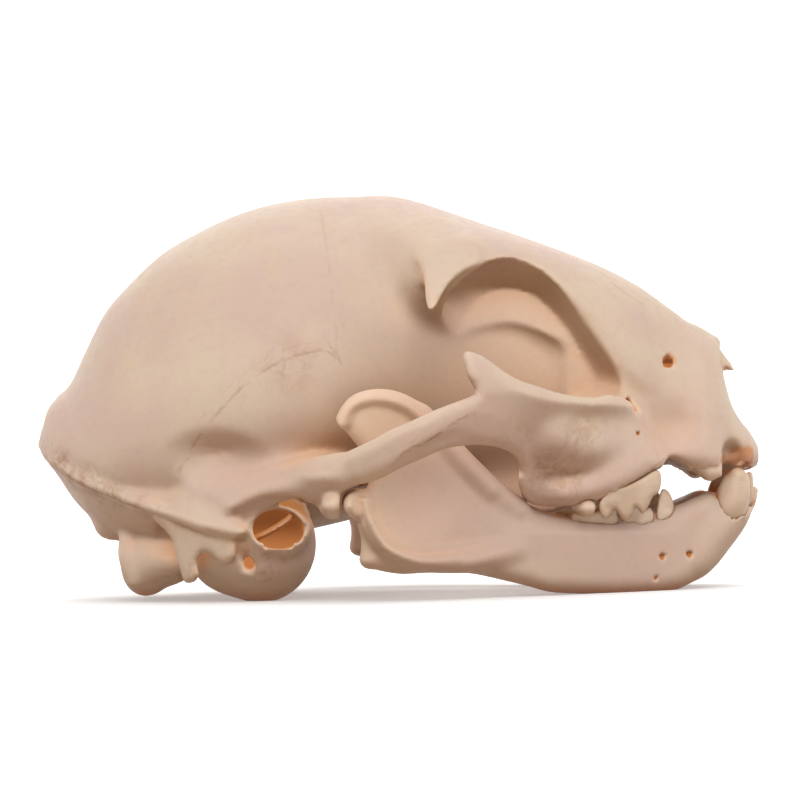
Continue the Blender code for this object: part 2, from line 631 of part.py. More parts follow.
def orbit():
    """The eye socket with the open space below it. It narrows inward like a funnel."""
    eye_x, eye_z, rim_y, taper = 12.0, 31.0, 13.5, 0.055

    def distance(x, y, z):
        scale = 1 - taper * np.maximum(rim_y - y, 0)
        flat_x, flat_z = eye_x + (x - eye_x) / scale, eye_z + (z - eye_z) / scale
        wall = 9.5 - 0.3 * np.maximum(z - 33.0, 0) - y
        return np.maximum(outline_distance(ORBIT, flat_x, flat_z) * scale, wall)

    return Shape(distance, (2.0, 6.0, 8.0), (29.0, 34.0, 43.5))


def add_bodies(clay):
    """The braincase, the forehead over the eyes and the muzzle, with the eye sockets cut out."""
    clay.add(body(FOREHEAD, 2.3), 0.5, even=True)
    clay.add(body(MUZZLE, 2.5), 1.2, even=True)
    gum = ((16.5, 17.4, 14.0, 1.6), (21.0, 17.3, 13.6, 1.8), (26.0, 15.8, 15.2, 2.2), (30.6, 13.2, 17.8, 2.2),
           (33.6, 11.2, 19.5, 1.9), (36.0, 9.5, 18.9, 2.0))
    clay.add(rod(gum), 2.0)
    clay.add(rod([(17.5, 16.6, 14.8, 1.3), (20.0, 16.0, 14.8, 1.9), (24.0, 13.0, 17.5, 3.0)]), 1.5)
    clay.cut(orbit(), 0.4)
    clay.add(body(CORE), 2.5, even=True)


def add_ridges(clay):
    """The brow's pointed process, the crest across the nape, the shelf and the flange by the ear."""
    brow = plate(BROW, lambda x, z: 21.2 - 0.85 * (z - 36.0), lambda x, z: 0.9 + 0.12 * (z - 36.0), 0.9)
    clay.add(brow, 1.5)
    crest = (
        (-44.3, 0.0, 19.3, 0.8), (-43.7, 4.0, 18.3, 0.8), (-42.3, 7.7, 16.9, 0.8), (-40.2, 10.7, 15.4, 0.8),
        (-37.0, 13.3, 14.0, 0.8), (-34.0, 15.0, 12.8, 0.8), (-31.0, 16.8, 11.7, 0.8),
        (-28.0, 18.1, 10.7, 0.8), (-25.0, 19.1, 9.6, 0.9), (-22.0, 19.6, 8.9, 0.9), (-20.4, 19.4, 8.5, 0.9),
    )
    clay.add(rod(crest), 1.0)
    shelf = (
        (-24.5, 17.6, 13.4, 1.0), (-19.5, 18.8, 13.6, 1.5), (-15.5, 20.4, 14.2, 1.8),
        (-11.5, 22.6, 15.4, 1.8), (-8.0, 26.0, 16.6, 1.5),
    )
    clay.add(rod(shelf), 4.0)
    clay.add(rod([(-26.5, 16.6, 11.6, 1.6), (-22.0, 17.2, 11.6, 2.0), (-18.5, 17.4, 12.4, 2.0)]), 2.0)

    def middle(x, z):
        out = curve(x, ((-30.6, 14.8), (-27.0, 16.2), (-24.0, 18.0), (-21.0, 19.0), (-20.0, 18.8)))
        return out - 0.12 * (10 - z)

    clay.add(plate(EAR_FLANGE, middle, lambda x, z: 1.0 + 0 * x, 1.0, 0.15), 0.8)


def add_arch(clay):
    clay.add(ball((-8.2, 21.5, 15.4), (4.6, 6.5, 2.4)), 2.0)
    clay.add(rod([(-8.9, 18.5, 12.2, 1.1), (-8.7, 22.0, 11.5, 1.2), (-8.5, 26.5, 11.9, 1.2)]), 1.0)
    clay.add(cheek_arch(), 1.2, even=True)
    under_keel = (
        (-4.0, 31.6, 12.8, 1.6), (0.0, 32.6, 15.2, 2.2), (4.0, 32.8, 18.0, 2.4), (7.2, 32.3, 19.3, 2.4),
        (11.2, 30.6, 18.8, 2.4), (14.0, 28.4, 17.6, 2.4), (15.6, 26.6, 15.4, 2.1), (16.8, 25.0, 12.8, 1.8),
    )
    clay.cut(rod(under_keel), 0.5)
    clay.add(rod([(26.5, 12.0, 19.5, 4.5), (22.0, 17.0, 19.6, 3.8), (18.5, 21.0, 20.6, 2.8)]), 2.0)
    clay.cut(jaw_condyle(JAW_JOINT_GAP), 0.3)
    clay.cut(ball((-3.3, 24.2, 15.2), (2.2, 2.2, 2.8)), 0.5)


def add_base(clay):
    """Ear bulbs, the knuckles for the neck, and the plates behind the palate."""
    clay.add(ball((-17.5, 12.0, 7.0), (7.0, 6.2, 7.25), yaw=-12), 0.8)
    clay.add(ball((-21.4, 11.2, 6.8), (5.2, 5.2, 5.8)), 1.5)
    clay.add(rod([(-15.6, 13.5, 8.8, 3.7), (-15.2, 17.0, 9.0, 3.7)], (1.15, 1.0, 0.92)), 1.2)
    clay.add(ball((-31.2, 7.2, 5.3), (3.6, 3.9, 4.8), pitch=-15), 1.2)
    clay.add(ball((-28.6, 8.2, 5.2), (3.0, 3.0, 3.2)), 1.2)
    clay.add(ball((-36.4, 5.2, 9.0), (2.0, 2.4, 1.9)), 1.5)
    clay.cut(ball((-28.9, 13.2, 7.4), (2.2, 2.0, 2.6)), 0.8)
    clay.add(plate(WING, lambda x, z: 5.2 + 0 * x, lambda x, z: 0.75 + 0 * x, 0.6), 1.2)
    clay.cut(rod([(-1.0, 0.0, 10.0, 2.6), (12.0, 0.0, 12.8, 3.0)], (1.0, 1.2, 0.8)), 1.0)


def hollow_out(clay):
    """The brain space and its way out to the neck, the ears, the nose and the small holes of the face."""
    inner = body(CORE)

    def cavity(x, y, z):
        floor = 13.6 - 0.12 * (x + 44.0) - z + 0.42 * np.maximum(x + 16.0, 0)
        walls = inner.distance(x, y, z) + BRAINCASE_WALL
        return soft_max(soft_max(walls, x - 3.0, 3.0), np.where(x > -16.0, floor, -FAR), 2.0)

    clay.cut(Shape(cavity, (-46.0, 0.0, 4.0), (4.0, 22.0, 52.0)), 0.5, even=True)
    clay.cut(rod([(-43.0, 0.0, 5.4, 5.6), (-27.0, 0.0, 11.0, 5.6)], (1.0, 1.15, 0.98)), 0.8)
    clay.add(ball((-18.5, 11.5, 13.4), (7.0, 6.0, 2.4)), 1.5)
    clay.cut(ball((-17.5, 12.2, 6.6), (7.0 - BULB_WALL, 6.1 - BULB_WALL, 6.6 - BULB_WALL), yaw=-12), 0.3)
    clay.cut(rod([(-15.3, 13.0, 8.8, 2.8), (-15.1, 23.0, 9.0, 2.8)], (1.15, 1.0, 0.88)), 0.4)
    nose = ((47.0, 0.0, 26.0, 3.2), (38.0, 0.0, 26.6, 3.8), (30.0, 0.0, 27.5, 4.6), (21.0, 0.0, 27.0, 5.2),
            (15.0, 0.0, 25.0, 4.6))
    clay.cut(rod(nose, (1.0, 1.0, 1.25)), 0.6)
    clay.cut(rod([(15.0, 0.0, 24.0, 4.0), (11.5, 0.0, 17.5, 3.6), (8.0, 0.0, 11.5, 3.4)]), 0.8)
    clay.cut(ball((41.4, 8.2, 17.6), (1.5, 2.6, 2.3)), 0.8)
    clay.cut(ball((34.2, 13.6, 21.5), (2.8, 3.2, 4.2)), 2.0)
    clay.cut(rod([(30.6, 16.0, 24.5, 0.65), (26.5, 11.0, 24.0, 0.65)], (0.8, 1.0, 1.6)), 0.3)


def add_nose(clay):
    clay.add(rod([(38.2, 3.7, 31.8, 0.9), (40.0, 4.1, 30.0, 0.7), (41.3, 4.2, 28.9, 0.35)]), 0.6)
    clay.add(rod([(36.5, 1.4, 33.4, 0.9), (39.4, 1.3, 32.2, 0.5)], (1.0, 2.0, 1.0)), 0.8)
    clay.add(rod([(37.2, 8.3, 22.6, 2.0), (37.9, 8.9, 18.0, 2.4)]), 1.5)


def build_cranium(material):
    half = Clay((-46.5, 0.0, -1.5), (46.5, 33.5, 52.0), BONE_STEP)
    add_bodies(half)
    add_ridges(half)
    add_arch(half)
    add_base(half)
    add_nose(half)
    hollow_out(half)
    cut_sockets(half, {**UPPER_TEETH, **LOWER_TEETH}, SOCKET_GAP)
    whole = half.unfolded()
    whole.cut(rod([(33.3, -16.0, 30.4, 0.9), (33.3, -5.0, 29.6, 0.9)]), 0.1)
    points, faces = skin(whole)
    finish("cranium", points, faces, CRANIUM_FACES, material, mirrored=True)


def build_jaw(material):
    """The left half of the lower jaw, from its condyle and coronoid plate to the chin, and its mirror."""
    clay = Clay((-10.0, 0.0, -1.0), (46.5, 31.0, 28.0), JAW_STEP)

    def middle(x, z):
        at_teeth = np.clip((x - 12.0) / 4.0, 0, 1) * np.clip((36.0 - x) / 4.0, 0, 1)
        inward = 0.35 * np.clip(z - 8.5, 0, 3) * at_teeth
        return curve(x, JAW_MIDDLE) - inward

    def half(x, z):
        low_rear = np.clip((6.0 - z) / 3.0, 0, 1) * np.clip((8.0 - x) / 8.0, 0, 1)
        return curve(x, JAW_HALF_THICKNESS) + 0.5 * low_rear

    clay.add(plate(JAW, middle, half, 1.2), 1.0, even=True)
    front_edge = (
        (3.0, 23.4, 23.4, 0.6), (6.6, 22.2, 18.9, 0.9), (10.6, 20.2, 14.8, 1.1), (14.5, 18.0, 11.6, 1.2),
    )
    clay.add(rod(front_edge), 1.5)
    hollow_rim = (
        (-4.4, 26.6, 11.2, 0.9), (-3.8, 26.0, 9.0, 0.9), (-2.6, 25.6, 7.2, 0.9), (-0.6, 25.2, 5.7, 0.9),
        (3.0, 24.4, 4.9, 1.1), (8.0, 22.4, 5.0, 1.4), (14.0, 18.6, 6.4, 1.2),
    )
    clay.add(rod(hollow_rim), 1.4)
    clay.add(rod([(-4.8, 24.2, 11.5, 1.0), (-4.0, 24.2, 8.0, 0.9), (-4.0, 24.2, 5.2, 1.0)]), 1.0)
    clay.add(jaw_condyle(), 0.8)
    clay.cut(ball((2.2, 26.7, 13.2), (8.6, 3.2, 8.2), yaw=-15), 0.8)
    rim = ((-7.0, 24.6, 22.6, 0.5), (-5.6, 24.5, 24.8, 0.6), (-2.6, 24.3, 25.4, 0.7), (0.8, 23.9, 24.5, 0.8),
           (4.2, 23.0, 21.6, 0.9), (7.4, 21.8, 17.8, 1.0), (11.0, 20.2, 14.0, 1.0))
    clay.add(rod(rim), 1.2)
    clay.cut(ball((-4.4, 28.9, 10.4), (1.5, 1.8, 1.7)), 0.8)
    clay.add(rod([(36.5, 5.6, 5.7, 2.4), (39.2, 5.0, 8.9, 2.5), (41.0, 4.8, 10.9, 2.2)]), 1.5)
    clay.add(ball((37.6, 1.6, 7.8), (4.8, 3.2, 2.3), pitch=48), 1.2)
    cut_sockets(clay, LOWER_TEETH, SOCKET_GAP)
    gap = HALF_CHIN_GAP - clay.axes[1][None, :, None]
    clay.field = np.maximum(clay.field, gap).astype(np.float32)
    finish_pair("mandible", clay, JAW_FACES, material)


def build_teeth(material):
    for name, tooth in {**UPPER_TEETH, **LOWER_TEETH}.items():
        finish_pair(name, tooth_clay(tooth, TOOTH_STEP), tooth.faces, material)


for old in list(bpy.data.objects):
    bpy.data.objects.remove(old)
bone = surface("bone", BONE, BONE_ROUGHNESS)
enamel = surface("enamel", ENAMEL, ENAMEL_ROUGHNESS)
build_cranium(bone)
build_jaw(bone)
build_teeth(enamel)
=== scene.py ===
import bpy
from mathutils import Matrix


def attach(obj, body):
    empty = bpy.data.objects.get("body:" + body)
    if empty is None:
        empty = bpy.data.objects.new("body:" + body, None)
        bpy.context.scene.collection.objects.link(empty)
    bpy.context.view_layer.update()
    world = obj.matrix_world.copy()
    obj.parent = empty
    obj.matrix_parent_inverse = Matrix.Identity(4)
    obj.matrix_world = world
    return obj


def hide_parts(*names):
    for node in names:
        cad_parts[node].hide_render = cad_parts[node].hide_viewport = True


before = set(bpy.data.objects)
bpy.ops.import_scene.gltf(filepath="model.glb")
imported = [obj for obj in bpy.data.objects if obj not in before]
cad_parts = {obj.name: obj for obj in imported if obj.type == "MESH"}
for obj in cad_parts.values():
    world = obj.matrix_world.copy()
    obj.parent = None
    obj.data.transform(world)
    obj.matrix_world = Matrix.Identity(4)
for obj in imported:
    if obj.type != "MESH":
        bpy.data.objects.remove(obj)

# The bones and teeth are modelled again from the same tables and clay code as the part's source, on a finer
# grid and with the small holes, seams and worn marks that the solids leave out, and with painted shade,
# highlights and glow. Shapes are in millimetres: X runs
"""The looks of a wild cat's skull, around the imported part.

The bones and teeth are modelled again from the same tables and clay code as the part's source, on a finer
grid and with the small holes, seams and stains that the solids leave out. Shapes are in millimetres: X runs
from the nape (low) to the muzzle (high), Y to the animal's left, Z up. Each piece replaces its solid.
"""
import copy
import math

import bpy
import numpy as np
from mathutils import Matrix, Vector
from mathutils.bvhtree import BVHTree
from mathutils.kdtree import KDTree

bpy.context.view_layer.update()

# Sizes in millimetres, and the view's turn in degrees
REST_SNAP = 0.02
MIDDLE_X = 0.18
REST_POINTS = ((-17.2, 12.2, 0.0), (25.0, 12.5, 0.97))
VIEW_DISTANCE = 600.0
VIEW_HEIGHT = 25.0
VIEW_TURN = 2.0
BRAINCASE_WALL = 1.9
BULB_WALL = 1.2
SOCKET_GAP = 0.08
JAW_JOINT_GAP = 0.45
HALF_CHIN_GAP = 0.06
BONE_STEP = 0.4
JAW_STEP = 0.27
TOOTH_STEP = 0.11
FAR = 9.0
SEAM_REACH = 1.6
# The most triangles that one piece may have
PIECE_FACES = 190000
# How far the materials look for surfaces that close a point in, in metres
HOLLOW_REACH = 0.016
CREVICE_REACH = 0.004
TOOTH_CREVICE_REACH = 0.003
# How far the cheek arch leans out per millimetre of height, and the height of its middle line, along X
ARCH_LEAN = ((-12.0, 0.28), (14.0, 0.28), (21.0, 0.7), (27.0, 0.7), (32.0, 0.3))
ARCH_MIDDLE = ((-12.0, 14.6), (-4.0, 16.6), (4.0, 20.4), (10.0, 23.4), (16.0, 20.6), (26.0, 19.4))

# Cross-sections along X: place, top, bottom, half width, height of the widest line
CORE = (
    (-44.9, 20.9, 19.6, 1.2, 20.2), (-44.2, 23.3, 17.6, 4.6, 19.8), (-43.0, 25.2, 15.9, 8.0, 19.0),
    (-41.2, 27.0, 13.2, 10.6, 18.6), (-39.5, 30.6, 10.6, 12.4, 18.6), (-37.0, 35.6, 7.6, 14.6, 19.2),
    (-34.0, 39.2, 6.0, 16.6, 20.4), (-30.0, 43.0, 4.8, 18.5, 22.0), (-25.0, 46.0, 5.2, 20.2, 23.5),
    (-20.0, 48.25, 6.6, 21.2, 24.8), (-14.0, 49.8, 8.2, 21.5, 26.0), (-8.0, 50.35, 9.6, 20.7, 27.0),
    (-4.0, 50.2, 10.6, 19.0, 28.0), (0.0, 49.5, 11.4, 16.4, 29.5), (4.0, 47.9, 12.2, 13.0, 31.0),
    (8.0, 46.2, 12.8, 10.6, 31.0), (12.0, 44.8, 13.0, 9.4, 30.0), (17.0, 43.1, 13.4, 8.8, 28.0),
    (22.0, 41.2, 13.8, 9.0, 27.0), (28.0, 38.2, 15.2, 9.2, 26.0), (34.0, 34.0, 17.6, 8.0, 25.0),
    (38.0, 30.4, 17.0, 7.0, 23.5),
)
FOREHEAD = (
    (-9.0, 45.5, 39.0, 6.0, 42.0), (-5.0, 48.8, 37.0, 12.4, 42.3), (-2.0, 49.8, 35.0, 14.8, 42.0),
    (2.0, 49.4, 33.0, 16.6, 41.2), (6.0, 48.3, 33.0, 17.4, 41.0), (10.0, 47.0, 34.0, 16.4, 41.2),
    (14.0, 45.7, 34.0, 14.8, 40.6), (18.0, 44.3, 32.0, 13.4, 39.0), (22.0, 42.8, 29.0, 12.8, 36.5),
    (25.0, 41.6, 27.0, 13.2, 33.5), (28.0, 40.1, 25.0, 13.2, 30.0), (30.5, 38.4, 24.5, 11.8, 27.5),
    (33.5, 34.5, 25.0, 8.5, 27.0),
)
MUZZLE = (
    (21.0, 40.6, 17.0, 12.2, 30.0), (24.0, 40.2, 14.8, 13.6, 27.5), (27.0, 39.4, 15.2, 13.5, 25.0),
    (30.0, 38.4, 16.2, 12.2, 22.5), (33.0, 36.8, 17.6, 10.7, 21.0), (36.0, 34.6, 16.5, 10.3, 21.0),
    (38.5, 33.1, 16.4, 10.2, 21.0), (39.6, 31.9, 16.4, 9.5, 20.8), (40.3, 28.6, 16.4, 8.8, 20.4),
    (41.2, 25.1, 16.3, 7.9, 20.4), (42.4, 22.6, 16.2, 6.8, 19.8), (43.6, 21.1, 16.3, 5.4, 18.9),
    (44.7, 19.2, 16.9, 2.6, 18.2),
)
# Closed outlines in the side view, as X and Z
BROW = (
    (2.4, 43.8), (2.7, 41.6), (3.0, 39.8), (3.1, 38.2), (3.3, 36.8), (3.7, 36.0), (4.3, 36.5), (5.1, 38.0),
    (6.1, 39.5), (7.6, 41.0), (9.6, 42.3), (8.4, 45.2),
)
ORBIT = (
    (5.2, 36.3), (5.9, 38.0), (6.9, 39.3), (8.5, 40.9), (10.4, 42.0), (12.5, 42.5), (15.0, 42.5),
    (17.3, 41.9), (19.0, 40.8), (20.6, 39.0), (22.3, 36.6), (23.8, 34.1), (25.3, 31.6), (26.7, 29.3),
    (27.7, 27.4), (27.8, 25.9), (26.5, 24.6), (23.0, 23.2), (19.5, 22.4), (16.8, 20.5), (15.4, 17.5),
    (14.6, 13.0), (14.0, 8.0), (4.0, 8.0), (2.5, 20.0), (3.5, 30.0),
)
ARCH = (
    (7.9, 31.0), (10.1, 30.5), (12.4, 28.9), (14.5, 27.6), (16.8, 26.8), (20.0, 25.8), (23.8, 25.3),
    (26.5, 25.6), (30.0, 23.8), (31.9, 20.0), (31.9, 17.5), (28.1, 15.3), (25.5, 14.0), (23.6, 12.4),
    (21.6, 11.7), (18.0, 12.0), (16.1, 12.4), (15.0, 13.6), (14.6, 15.2), (14.8, 16.6), (14.1, 18.1),
    (12.4, 19.0), (10.1, 19.4), (7.9, 19.3), (5.6, 18.9), (3.4, 18.0), (0.0, 16.5), (-2.3, 15.3),
    (-4.4, 14.6), (-6.3, 14.2), (-7.6, 12.4), (-7.8, 10.3), (-9.3, 11.1), (-10.3, 11.9), (-12.5, 12.9),
    (-11.8, 16.0), (-10.0, 16.5), (-7.8, 18.0), (-5.5, 19.1), (-3.4, 20.1), (-1.1, 21.4), (1.1, 22.3),
    (3.4, 23.4), (5.6, 24.3), (9.0, 25.6), (9.2, 26.4), (8.2, 28.3),
)
JAW = (
    (-8.2, 22.4), (-7.9, 23.6), (-6.9, 24.8), (-5.5, 25.7), (-3.3, 26.3), (-1.1, 26.2), (1.1, 25.3),
    (3.4, 23.7), (5.6, 20.9), (7.4, 18.6), (9.0, 16.9), (11.2, 14.7), (13.4, 13.3), (15.6, 12.2),
    (18.1, 11.1), (21.9, 10.4), (25.0, 10.3), (28.8, 10.7), (31.9, 11.2), (33.5, 11.7), (35.0, 12.1),
    (36.5, 12.8), (38.0, 13.5), (39.2, 13.4), (40.4, 12.2), (42.2, 11.3), (43.4, 11.5), (44.2, 12.0),
    (44.0, 11.5), (43.1, 10.0), (42.5, 8.9), (41.0, 6.9), (39.5, 4.8), (38.0, 3.4), (36.5, 2.4), (35.0, 1.6),
    (33.5, 1.2), (32.0, 1.0), (27.5, 0.8), (24.5, 0.8), (21.5, 0.9), (18.5, 1.1), (15.5, 1.9), (12.5, 2.6),
    (9.5, 3.2), (6.5, 3.6), (3.5, 3.4), (0.5, 3.1), (-2.1, 3.4), (-3.4, 3.8), (-4.4, 4.3), (-4.9, 5.1),
    (-4.5, 6.4), (-4.5, 7.9), (-5.1, 9.3), (-5.6, 10.8), (-5.4, 12.5), (-4.6, 14.0), (-4.4, 16.3),
    (-5.5, 18.7), (-6.9, 20.6),
)
WING = (
    (22.5, 13.2), (20.5, 11.5), (17.5, 10.7), (13.0, 10.7), (8.0, 10.6), (2.0, 9.6), (-2.5, 7.2), (-3.6, 7.8),
    (-1.6, 11.0), (-4.0, 13.5), (-2.0, 17.0), (20.0, 17.0),
)
EAR_FLANGE = (
    (-30.6, 10.2), (-29.4, 8.9), (-28.4, 7.4), (-27.8, 5.6), (-27.3, 3.8), (-26.8, 2.4), (-25.9, 2.4),
    (-25.3, 3.1), (-25.5, 4.6), (-25.0, 5.8), (-24.4, 6.1), (-23.5, 5.7), (-22.6, 4.9), (-21.8, 4.7),
    (-21.0, 5.2), (-20.5, 6.4), (-20.2, 7.6), (-20.0, 8.9), (-21.9, 10.4), (-25.0, 11.4), (-28.1, 11.8),
    (-30.2, 11.5),
)
# Outer face of the cheek arch and middle of the jaw half, as X and Y
ARCH_OUTSIDE = (
    (-12.5, 20.8), (-10.0, 24.4), (-8.0, 27.2), (-5.0, 29.8), (-2.0, 31.1), (2.0, 31.6), (6.0, 31.2),
    (10.0, 29.9), (14.0, 27.2), (18.0, 23.4), (22.0, 19.2), (26.0, 15.6), (30.0, 12.5), (32.0, 11.0),
)
JAW_MIDDLE = (
    (-8.0, 24.3), (-2.0, 24.1), (2.0, 23.3), (6.0, 21.7), (10.0, 19.6), (14.0, 17.6), (18.0, 15.8),
    (22.0, 14.0), (26.0, 12.1), (30.0, 9.9), (34.0, 7.5), (37.0, 5.7), (40.0, 4.3), (44.5, 2.5),
)
JAW_HALF_THICKNESS = (
    (-8.0, 0.95), (4.0, 1.0), (9.0, 1.6), (14.0, 2.2), (30.0, 2.3), (36.0, 2.8), (44.5, 2.4),
)


def curve(at, points):
    """A smooth line through the points, which are pairs of place and value, read at the given places."""
    places, values = np.array(points, float).T
    slopes = np.gradient(values, places)
    span = np.clip(np.searchsorted(places, at) - 1, 0, len(places) - 2)
    width = places[span + 1] - places[span]
    t = np.clip((at - places[span]) / width, 0, 1)
    start = (1 + 2 * t) * (1 - t) ** 2 * values[span] + t * (1 - t) ** 2 * width * slopes[span]
    end = t * t * (3 - 2 * t) * values[span + 1] + t * t * (t - 1) * width * slopes[span + 1]
    return start + end


def round_line(points, closed, pieces=4):
    """The points with a smooth curve drawn through them."""
    points = np.array(points, float)
    count = len(points)
    spans = count if closed else count - 1
    made = []
    for i in range(spans):
        near = [(i + k) % count if closed else min(max(i + k, 0), count - 1) for k in (-1, 0, 1, 2)]
        a, b, c, d = points[near]
        for t in np.arange(pieces) / pieces:
            made.append(b + 0.5 * t * (c - a + t * (2 * a - 5 * b + 4 * c - d + t * (3 * (b - c) + d - a))))
    if not closed:
        made.append(points[-1])
    return np.array(made)


def soft_min(a, b, blend):
    """The smaller of two distances, with a fillet about as wide as blend where they meet."""
    overlap = np.maximum(blend - np.abs(a - b), 0.0) / blend
    return np.minimum(a, b) - overlap * overlap * blend * 0.25


def soft_max(a, b, blend):
    """The larger of two distances, with a fillet about as wide as blend where they meet."""
    return -soft_min(-a, -b, blend)


class Shape:
    """A signed distance, negative inside, and the box that holds the shape."""

    def __init__(self, distance, low, high):
        self.distance = distance
        self.low = np.array(low, float)
        self.high = np.array(high, float)


def ball(centre, radii, pitch=0.0, yaw=0.0):
    """An ellipsoid, its front raised by pitch and swung outward by yaw, in degrees."""
    up, out = math.radians(pitch), math.radians(yaw)

    def distance(x, y, z):
        x, y, z = x - centre[0], y - centre[1], z - centre[2]
        x, y = x * math.cos(out) + y * math.sin(out), y * math.cos(out) - x * math.sin(out)
        x, z = x * math.cos(up) + z * math.sin(up), z * math.cos(up) - x * math.sin(up)
        near = np.sqrt((x / radii[0]) ** 2 + (y / radii[1]) ** 2 + (z / radii[2]) ** 2) + 1e-6
        steep = np.sqrt((x / radii[0] ** 2) ** 2 + (y / radii[1] ** 2) ** 2 + (z / radii[2] ** 2) ** 2)
        return near * (near - 1) / (steep + 1e-6)

    reach = max(radii)
    return Shape(distance, np.array(centre) - reach, np.array(centre) + reach)


def rod(points, flat=(1.0, 1.0, 1.0)):
    """A round bar along a smooth line of points with radii, its section stretched by flat along each axis."""
    line = np.array(points, float)
    if len(line) > 2:
        longest = np.sqrt((np.diff(line, axis=0) ** 2).sum(1)).max()
        line = round_line(line, False, max(4, math.ceil(longest / 0.7)))
    flat = np.array(flat, float)
    joints = line[:, :3] / flat

    def distance(x, y, z):
        nearest = None
        for a, b, ra, rb in zip(joints, joints[1:], line[:, 3], line[1:, 3]):
            along = b - a
            px, py, pz = x / flat[0] - a[0], y / flat[1] - a[1], z / flat[2] - a[2]
            t = np.clip((px * along[0] + py * along[1] + pz * along[2]) / (along @ along), 0, 1)
            gone = (px - t * along[0]) ** 2 + (py - t * along[1]) ** 2 + (pz - t * along[2]) ** 2
            found = np.sqrt(gone) - ra - (rb - ra) * t
            nearest = found if nearest is None else np.minimum(nearest, found)
        return nearest * flat.min()

    reach = line[:, 3].max() * flat
    return Shape(distance, line[:, :3].min(0) - reach, line[:, :3].max(0) + reach)


def body(sections, power=2.1):
    """A body given by its cross-sections along X."""
    rows = np.array(sections, float)

    def distance(x, y, z):
        top, bottom, width, widest = (curve(x, rows[:, (0, k)]) for k in (1, 2, 3, 4))
        rise = np.where(z > widest, np.maximum(top - widest, 0.1), np.maximum(widest - bottom, 0.1))
        across, up = np.abs(y) / np.maximum(width, 0.1), np.abs(z - widest) / rise
        share = (across**power + up**power) ** (1 / power) + 1e-6
        reach = np.sqrt(y * y + (z - widest) ** 2) + 1e-6
        found = reach - reach / share
        return np.maximum(found, np.maximum(rows[0, 0] - x, x - rows[-1, 0]))

    wide = rows[:, 3].max()
    return Shape(distance, (rows[0, 0], -wide, rows[:, 2].min()), (rows[-1, 0], wide, rows[:, 1].max()))


def outline_distance(outline, x, z):
    """Distance in the side view from a closed outline, negative inside it."""
    line = round_line(outline, True)
    square = np.full(np.broadcast(x, z).shape, 1e6, np.float32)
    inside = np.zeros(square.shape, bool)
    for (x0, z0), (x1, z1) in zip(line, np.roll(line, -1, 0)):
        run, rise = x1 - x0, z1 - z0
        t = np.clip(((x - x0) * run + (z - z0) * rise) / (run * run + rise * rise + 1e-9), 0, 1)
        square = np.minimum(square, (x - x0 - t * run) ** 2 + (z - z0 - t * rise) ** 2)
        if rise:
            inside ^= ((z0 <= z) != (z1 <= z)) & (x < x0 + (z - z0) * run / rise)
    return np.where(inside, -1, 1) * np.sqrt(square)


def plate(outline, middle, half, rounding, gap=0.0):
    """A sheet with that side outline swollen by gap, about the surface y = middle(x, z), with round edges."""

    def distance(x, y, z):
        side = outline_distance(outline, x, z) - gap
        return soft_max(side, np.abs(y - middle(x, z)) - half(x, z), rounding)

    corners = np.array(outline, float)
    (low_x, low_z), (high_x, high_z) = corners.min(0) - gap, corners.max(0) + gap
    across = middle(corners[:, 0], corners[:, 1])
    thick = half(corners[:, 0], corners[:, 1]).max() + 0.5
    return Shape(distance, (low_x, across.min() - thick, low_z), (high_x, across.max() + thick, high_z))


class Clay:
    """A block of distances on a grid. Its left half is kept, and mirrored when the block is two-sided."""

    def __init__(self, low, high, step):
        self.step = step
        first = [round(v / step) * step for v in low]
        first[1] += step / 2
        counts = [int(math.ceil((h - a) / step)) + 1 for a, h in zip(first, high)]
        self.axes = [a + step * np.arange(n) for a, n in zip(first, counts)]
        self.field = np.full(counts, FAR, np.float32)

    def window(self, shape, blend):
        """The slices of the block that the shape can change, and their coordinates."""
        pad = blend + 2 * self.step
        part = []
        for axis, low, high in zip(self.axes, shape.low - pad, shape.high + pad):
            part.append(slice(int(np.searchsorted(axis, low)), int(np.searchsorted(axis, high))))
        x, y, z = (axis[span].astype(np.float32) for axis, span in zip(self.axes, part))
        return tuple(part), (x[:, None, None], y[None, :, None], z[None, None, :])

    def sample(self, shape, blend, even):
        """The shape's distances in its window. Even ones are scaled to a slope of at most 1."""
        part, (x, y, z) = self.window(shape, blend)
        found = np.broadcast_to(shape.distance(x, y, z), self.field[part].shape)
        if even:
            slopes = np.gradient(found, self.step)
            found = found / np.maximum(np.sqrt(sum(s * s for s in slopes)), 1)
        return part, found

    def add(self, shape, blend=1.0, even=False):
        """Joins the shape on with a fillet."""
        part, found = self.sample(shape, blend, even)
        self.field[part] = soft_min(self.field[part], found, blend)

    def cut(self, shape, blend=0.5, even=False):
        """Cuts the shape out, with the rim of the hole rounded."""
        part, found = self.sample(shape, blend, even)
        self.field[part] = soft_max(self.field[part], -found, blend)

    def unfolded(self):
        """The left half together with its mirror image."""
        whole = copy.copy(self)
        whole.axes = [self.axes[0], np.concatenate([-self.axes[1][::-1], self.axes[1]]), self.axes[2]]
        whole.field = np.concatenate([self.field[:, ::-1], self.field], axis=1)
        return whole


